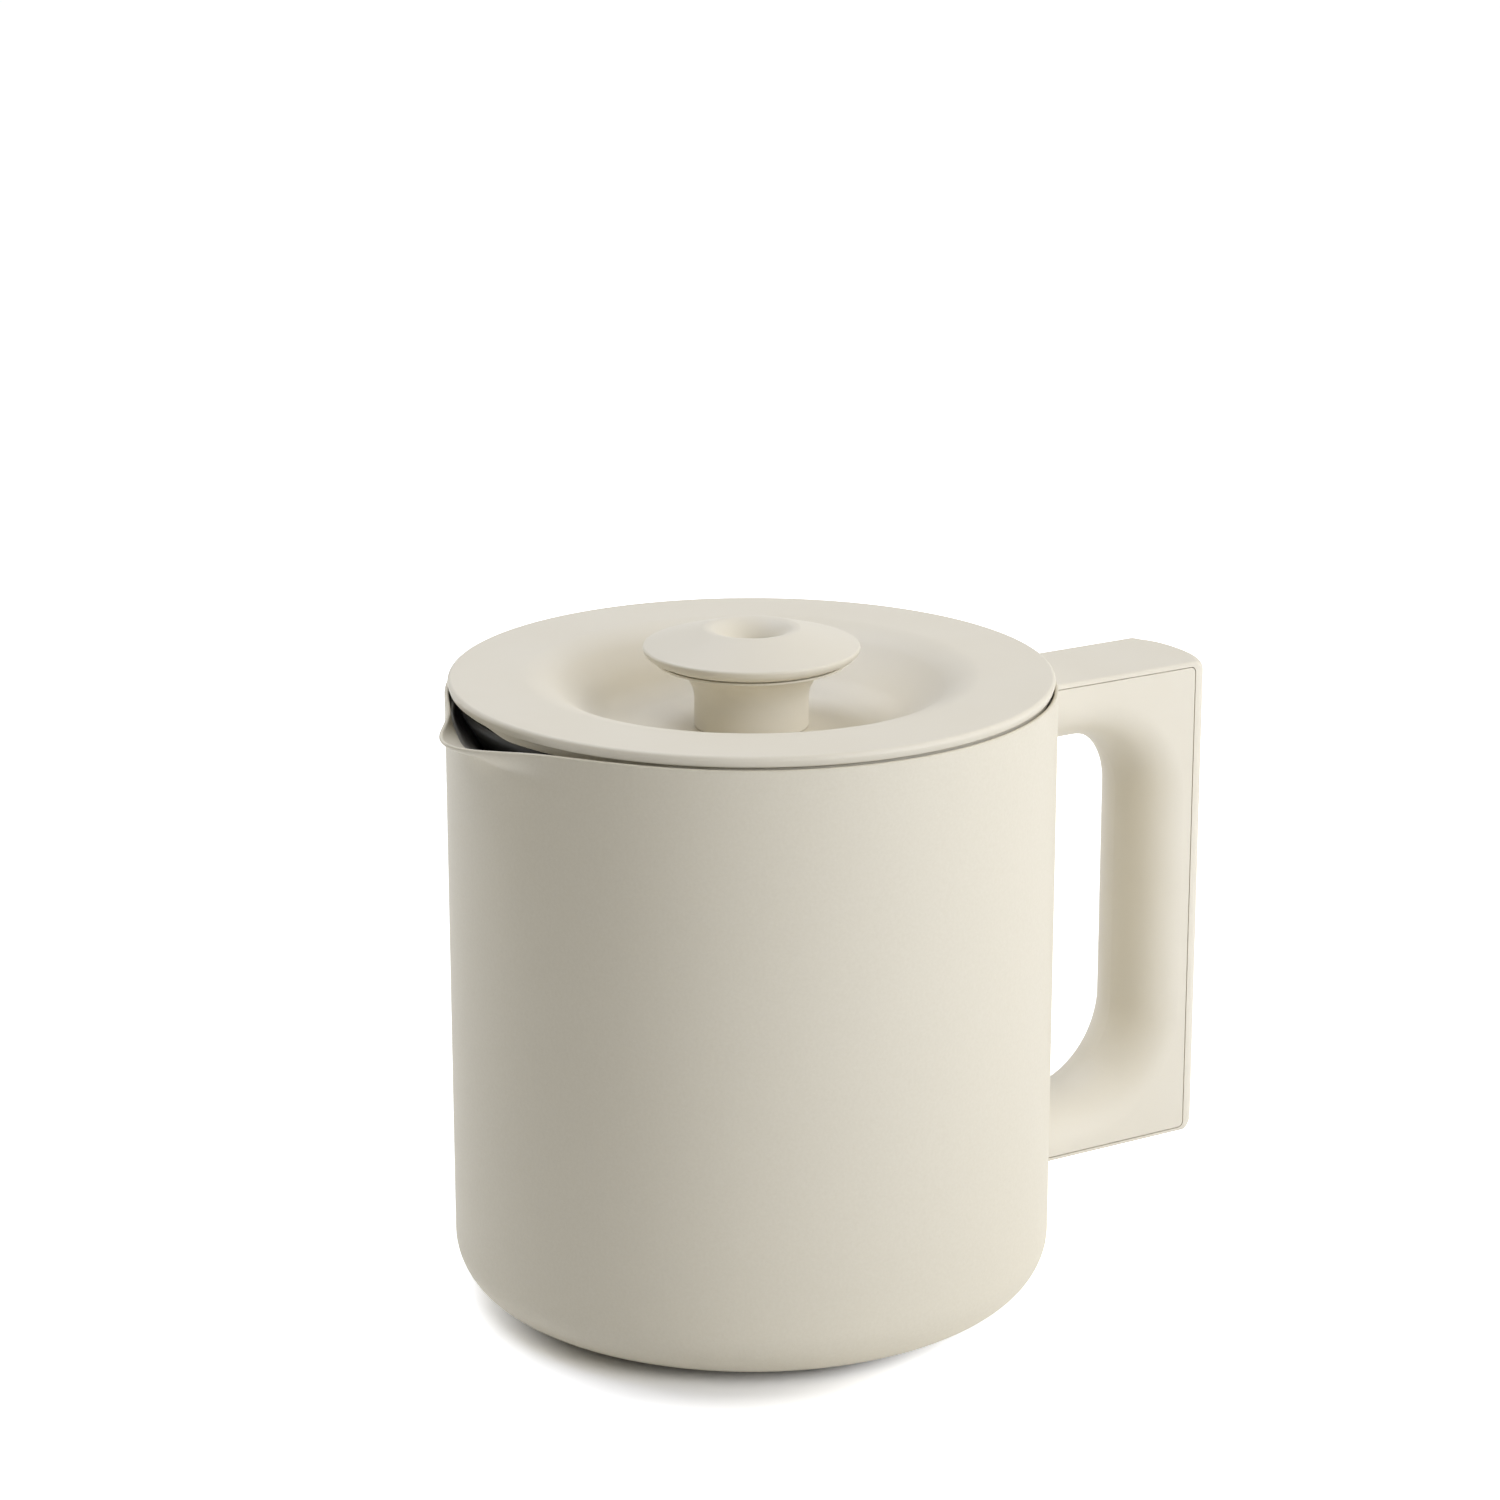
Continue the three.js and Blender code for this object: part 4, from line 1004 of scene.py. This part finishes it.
@dataclass
class Knob:
    """Brew-through knob: a stem that swells out, a cone with a funnel, the tube below it and the clamping nut."""

    stem_r: float = 13.1
    flare: float = 8.7
    flange_r: float = 22.0
    flange_edge: float = 0.5
    flange_z: float = highest("knob_stem").z
    seat_z: float = 134.9
    hollow_r: float = 15.9
    hollow_floor_r: float = 11.4
    hollow_depth: float = 5.9
    bore_r: float = 6.2
    spigot_r: float = 8.8
    spigot_z: float = lowest("knob_stem").z
    cap_r: float = 24.9
    cap_z: float = 150.7
    cap_edge: float = 2.9
    cap_bulge: float = 0.35
    cap_bulge_z: float = 1.1
    cap_bulge_round: float = 2.0
    cap_edge_round: float = 0.55
    cap_top_z: float = highest("knob_cap").z
    cap_sheet: float = 2.4
    cap_rib: float = 2.0
    funnel_r: float = 10.2
    funnel_rim_round: float = 3.0
    funnel_bend_r: float = 5.2
    funnel_bend_drop: float = 2.6
    funnel_bend_round: float = 9.9
    funnel_depth: float = 7.6
    drip_r: float = 3.8
    tube_wall: float = 2.1
    tube_flange: float = 2.4
    tube_z: float = lowest("drip_tube").z
    tube_top_z: float = highest("drip_tube").z
    tube_flange_height: float = 1.5
    tube_gap: float = 0.3
    ring_z: float = spigot_z + 4.0
    ring_groove_r: float = 4.7
    ring_groove_half: float = 1.05
    nut_r: float = 14.6
    nut_lobes: int = 6
    nut_lobe_depth: float = 1.0
    nut_hole_r: float = 9.1
    soft_edge: float = 0.25

    def stem(self) -> None:
        """Makes the stem with its hollow flare and its spigot."""
        flare_z = self.flange_z - self.flange_edge
        floor_z = self.flange_z - self.hollow_depth
        mesh = turned([
            Corner(self.bore_r, self.spigot_z),
            Corner(self.spigot_r, self.spigot_z, self.soft_edge),
            Corner(self.spigot_r, self.seat_z),
            Corner(self.stem_r, self.seat_z, self.soft_edge),
            Corner(self.stem_r, flare_z, self.flare),
            Corner(self.flange_r, flare_z, self.soft_edge / 2),
            Corner(self.flange_r, self.flange_z, self.soft_edge / 2),
            Corner(self.hollow_r, self.flange_z),
            Corner(self.hollow_floor_r, floor_z),
            Corner(self.bore_r, floor_z),
        ], KNOB_SIDES)
        show("knob_neck", mesh, Body.LID, Slot.CREAM_PLASTIC, "knob_stem")

    def cap(self) -> None:
        """Makes the cap: a shallow cone whose middle sinks into a horn-shaped funnel."""
        edge_z = self.cap_z + self.cap_edge
        slope = (self.cap_top_z - edge_z) / (self.cap_r - self.funnel_r)
        seat_r = self.flange_r - self.cap_rib
        under_z = self.cap_top_z - self.cap_sheet
        throat_z = self.cap_top_z - self.funnel_depth
        outlet_z = self.tube_top_z + self.tube_gap
        mesh = turned([
            Corner(seat_r, self.cap_z),
            Corner(self.flange_r, self.cap_z, self.soft_edge / 2),
            Corner(self.cap_r - self.cap_bulge, self.cap_z + self.cap_bulge_z, self.cap_bulge_round),
            Corner(self.cap_r, edge_z, self.cap_edge_round),
            Corner(self.funnel_r, self.cap_top_z, self.funnel_rim_round),
            Corner(self.funnel_bend_r, self.cap_top_z - self.funnel_bend_drop, self.funnel_bend_round),
            Corner(self.drip_r, throat_z),
            Corner(self.drip_r, outlet_z),
            Corner(self.drip_r + self.tube_wall, outlet_z, self.soft_edge),
            Corner(self.drip_r + self.tube_wall, throat_z),
            Corner(self.funnel_r, under_z),
            Corner(seat_r, under_z - slope * (seat_r - self.funnel_r)),
        ], KNOB_SIDES)
        show("knob_cone", mesh, Body.LID, Slot.CREAM_PLASTIC, "knob_cap")

    def tube(self) -> None:
        """Makes the tube that carries the coffee down, with a groove for its sealing ring."""
        outer_r = self.drip_r + self.tube_wall
        flange_z = self.tube_top_z - self.tube_flange_height
        mesh = turned([
            Corner(self.drip_r, self.tube_z, self.soft_edge),
            Corner(outer_r, self.tube_z, 2 * self.soft_edge),
            Corner(outer_r, self.ring_z - self.ring_groove_half),
            Corner(self.ring_groove_r, self.ring_z - self.ring_groove_half),
            Corner(self.ring_groove_r, self.ring_z + self.ring_groove_half),
            Corner(outer_r, self.ring_z + self.ring_groove_half),
            Corner(outer_r, flange_z),
            Corner(outer_r + self.tube_flange, flange_z, self.soft_edge),
            Corner(outer_r + self.tube_flange, self.tube_top_z, self.soft_edge),
            Corner(self.drip_r, self.tube_top_z),
        ], KNOB_SIDES)
        show("brew_tube", mesh, Body.LID, Slot.DARK_PLASTIC, "drip_tube")

    def nut(self) -> None:
        """Makes the lobed nut that clamps the lid's mouldings to the stem."""
        low, high = lowest("stem_nut").z, highest("stem_nut").z
        mesh = turned([
            Corner(self.nut_hole_r, low, self.soft_edge),
            Corner(self.nut_r, low, 3 * self.soft_edge),
            Corner(self.nut_r, high, self.soft_edge),
            Corner(self.nut_hole_r, high),
        ], KNOB_SIDES)
        for vert in mesh.verts:
            share = (vert.co.xy.length - self.nut_hole_r) / (self.nut_r - self.nut_hole_r)
            angle = math.atan2(vert.co.y, vert.co.x)
            grown = 1 + share * self.nut_lobe_depth * math.cos(self.nut_lobes * angle) / self.nut_r
            vert.co.xy *= grown
        show("clamp_nut", mesh, Body.LID, Slot.DARK_PLASTIC, "stem_nut")

    def build(self) -> None:
        """Makes the knob's four pieces."""
        self.stem()
        self.cap()
        self.tube()
        self.nut()


def dress_hidden_nodes() -> None:
    """Gives each frame node that still shows the finish of its slot in the record."""
    slots = {part["node"]: part["material_slot"] for part in frame["record"]["subparts"]}
    for name, node in frame["nodes"].items():
        if not node.hide_render:
            node.data.materials.clear()
            node.data.materials.append(FINISHES[Slot(slots[name])].material())
            LOG.info("%s: inner piece, keeps its shape", name)


@dataclass(frozen=True)
class Softbox:
    """A square soft light that faces the carafe. Its place is given as seen from the camera."""

    name: str
    to_right: float  # degrees round the carafe from the camera
    height: float  # degrees above the table
    power: float
    colour: str


@dataclass
class Studio:
    """Camera, lights, white surroundings and a pale floor that keeps the shadow, with a painted shadow round the
    carafe's base.
    """

    azimuth: float = -31.85
    elevation: float = 16.24
    distance: float = 1.0091
    aim_z: float = 0.12863
    lens: float = 105.6
    shift_pixels: float = 1.52
    ambient: float = 0.01
    floor_size: float = 8.0
    painted_shadow_place: tuple[float, float] = (-0.008, -0.014)  # middle of the painted shadow on the floor, to the right of and behind the axis
    painted_shadow_width: float = 0.8  # the painted shadow's width, as a share of its depth
    painted_shadow_fade: tuple[float, float] = (0.05, 0.08)  # metres from that middle over which the painted shadow fades
    floor_glow: float = 0.8  # share of the floor's white glow beyond that; nearer in, the glow falls away and paints the floor darker
    floor_far: tuple[float, float] = (0.22, 0.7)  # metres over which the floor turns plain white
    paper: str = "#fafafa"
    box_distance: float = 1.2  # metres
    box_size: float = 0.7
    boxes: tuple[Softbox, ...] = (
        Softbox("key", 55, 35, 4.9, "#e8eeff"),
        Softbox("key_low", 55, 10, 5.4, "#f8faff"),
        Softbox("rim", -110, 10, 3.2, "#fffdf6"),
        Softbox("back", -135, 60, 7.0, "#e8eeff"),
        Softbox("front", 0, 60, 2.9, "#fff6e0"),
        Softbox("side", 110, 35, 3.6, "#fff8ea"),
    )

    def aim(self, made: Object, at_z: float, azimuth: float, elevation: float, distance: float) -> None:
        """Places a camera or lamp so that it faces the carafe's axis.

        Args:
            made: The camera or lamp.
            at_z: Height of the point on the axis that it faces, in metres.
            azimuth: Degrees round the axis.
            elevation: Degrees above the table.
            distance: Metres from that point.
        """
        turn, rise = math.radians(azimuth), math.radians(elevation)
        back = Vector((math.sin(turn) * math.cos(rise), -math.cos(turn) * math.cos(rise), math.sin(rise)))
        made.location = Vector((0, 0, at_z)) + back * distance
        made.rotation_euler = (-back).to_track_quat("-Z", "Y").to_euler()

    def camera(self) -> None:
        """Adds the camera at the photograph's viewing angle."""
        data = bpy.data.cameras.new("camera")
        data.lens = self.lens
        data.shift_x = -self.shift_pixels / IMAGE_SIZE
        made = add_object("camera", data)
        self.aim(made, self.aim_z, self.azimuth, self.elevation, self.distance)
        bpy.context.scene.camera = made

    def lights(self) -> None:
        """Adds the soft lights."""
        for box in self.boxes:
            data = bpy.data.lights.new(box.name, "AREA")
            data.size = self.box_size
            data.energy = box.power
            data.color = linear(box.colour)[:3]
            self.aim(add_object(box.name, data), self.aim_z / 2, self.azimuth + box.to_right, box.height,
                     self.box_distance)

    def seen(self, tree: NodeTree) -> Any:
        """Tells rays that show the surroundings from rays that only light.

        Args:
            tree: Node tree that takes the nodes.

        Returns:
            Socket that is 1 on the first and 0 on the others.
        """
        path = add_node(tree, "LightPath").outputs
        first = add_node(tree, "Math", {0: path["Is Camera Ray"], 1: path["Is Glossy Ray"]},
                         operation="MAXIMUM")
        both = add_node(tree, "Math", {0: first.outputs[0], 1: path["Is Transmission Ray"]},
                        operation="MAXIMUM")
        return both.outputs[0]

    def surroundings(self) -> None:
        """Makes the world white to the eye, with a modest even light."""
        world = bpy.data.worlds.new("white_studio")
        world.use_nodes = True
        tree = world.node_tree
        strength = add_node(tree, "MapRange", {"Value": self.seen(tree), "To Min": self.ambient})
        background = tree.nodes["Background"]
        background.inputs["Color"].default_value = linear("#ffffff")
        tree.links.new(strength.outputs["Result"], background.inputs["Strength"])
        bpy.context.scene.world = world

    def floor(self) -> None:
        """Adds white studio paper that takes the real shadow near the carafe and fades into the background, and is
        darkened round the base by a painted shadow where its glow falls away.
        """
        mesh = bmesh.new()
        bmesh.ops.create_grid(mesh, x_segments=1, y_segments=1, size=self.floor_size / 2)
        floor = add_object("floor", mesh)
        material = bpy.data.materials.new("matt_white_studio_paper")
        material.use_nodes = True
        tree = material.node_tree
        tree.nodes.remove(tree.nodes["Principled BSDF"])
        paper = add_node(tree, "BsdfDiffuse", {"Color": linear(self.paper)})
        turn = math.radians(self.azimuth)
        right, back = self.painted_shadow_place
        middle = Matrix.Rotation(turn, 3, "Z") @ Vector((right, back, 0))
        place = add_node(tree, "TexCoord").outputs["Object"]
        around = add_node(tree, "Mapping", {
            "Vector": place, "Location": middle, "Rotation": (0, 0, turn), "Scale": (self.painted_shadow_width, 1, 1)},
            vector_type="TEXTURE").outputs[0]
        away = add_node(tree, "VectorMath", {0: around}, operation="LENGTH").outputs["Value"]
        # the glow falls away near the carafe, which paints a shadow on the floor on top of the real one
        near = add_node(tree, "MapRange", {
            "Value": away, "From Min": self.painted_shadow_fade[0], "From Max": self.painted_shadow_fade[1],
            "To Min": 0.0, "To Max": self.floor_glow}, interpolation_type="SMOOTHSTEP").outputs["Result"]
        far = add_node(tree, "MapRange", {
            "Value": away, "From Min": self.floor_far[0], "From Max": self.floor_far[1],
            "To Min": 0.0, "To Max": 1 - self.floor_glow}).outputs["Result"]
        glow = add_node(tree, "Math", {0: near, 1: far}, operation="ADD").outputs[0]
        strength = add_node(tree, "Math", {0: glow, 1: self.seen(tree)}, operation="MULTIPLY").outputs[0]
        white = add_node(tree, "Emission", {"Strength": strength})
        both = add_node(tree, "AddShader", {0: paper.outputs[0], 1: white.outputs[0]})
        tree.links.new(both.outputs[0], tree.nodes["Material Output"].inputs["Surface"])
        floor.data.materials.append(material)

    def build(self) -> None:
        """Sets up the camera, the lights and the surroundings."""
        bpy.context.scene.view_settings.view_transform = "Standard"
        self.camera()
        self.lights()
        self.surroundings()
        self.floor()


def main() -> None:
    """Builds the carafe's sub-assemblies in order, then the studio."""
    logging.basicConfig(level=logging.INFO, format="%(message)s")
    for assembly in (Vessel(), Base(), Handle(), Lid(), Knob()):
        assembly.build()
    dress_hidden_nodes()
    Studio().build()


if __name__ == "__main__":
    main()
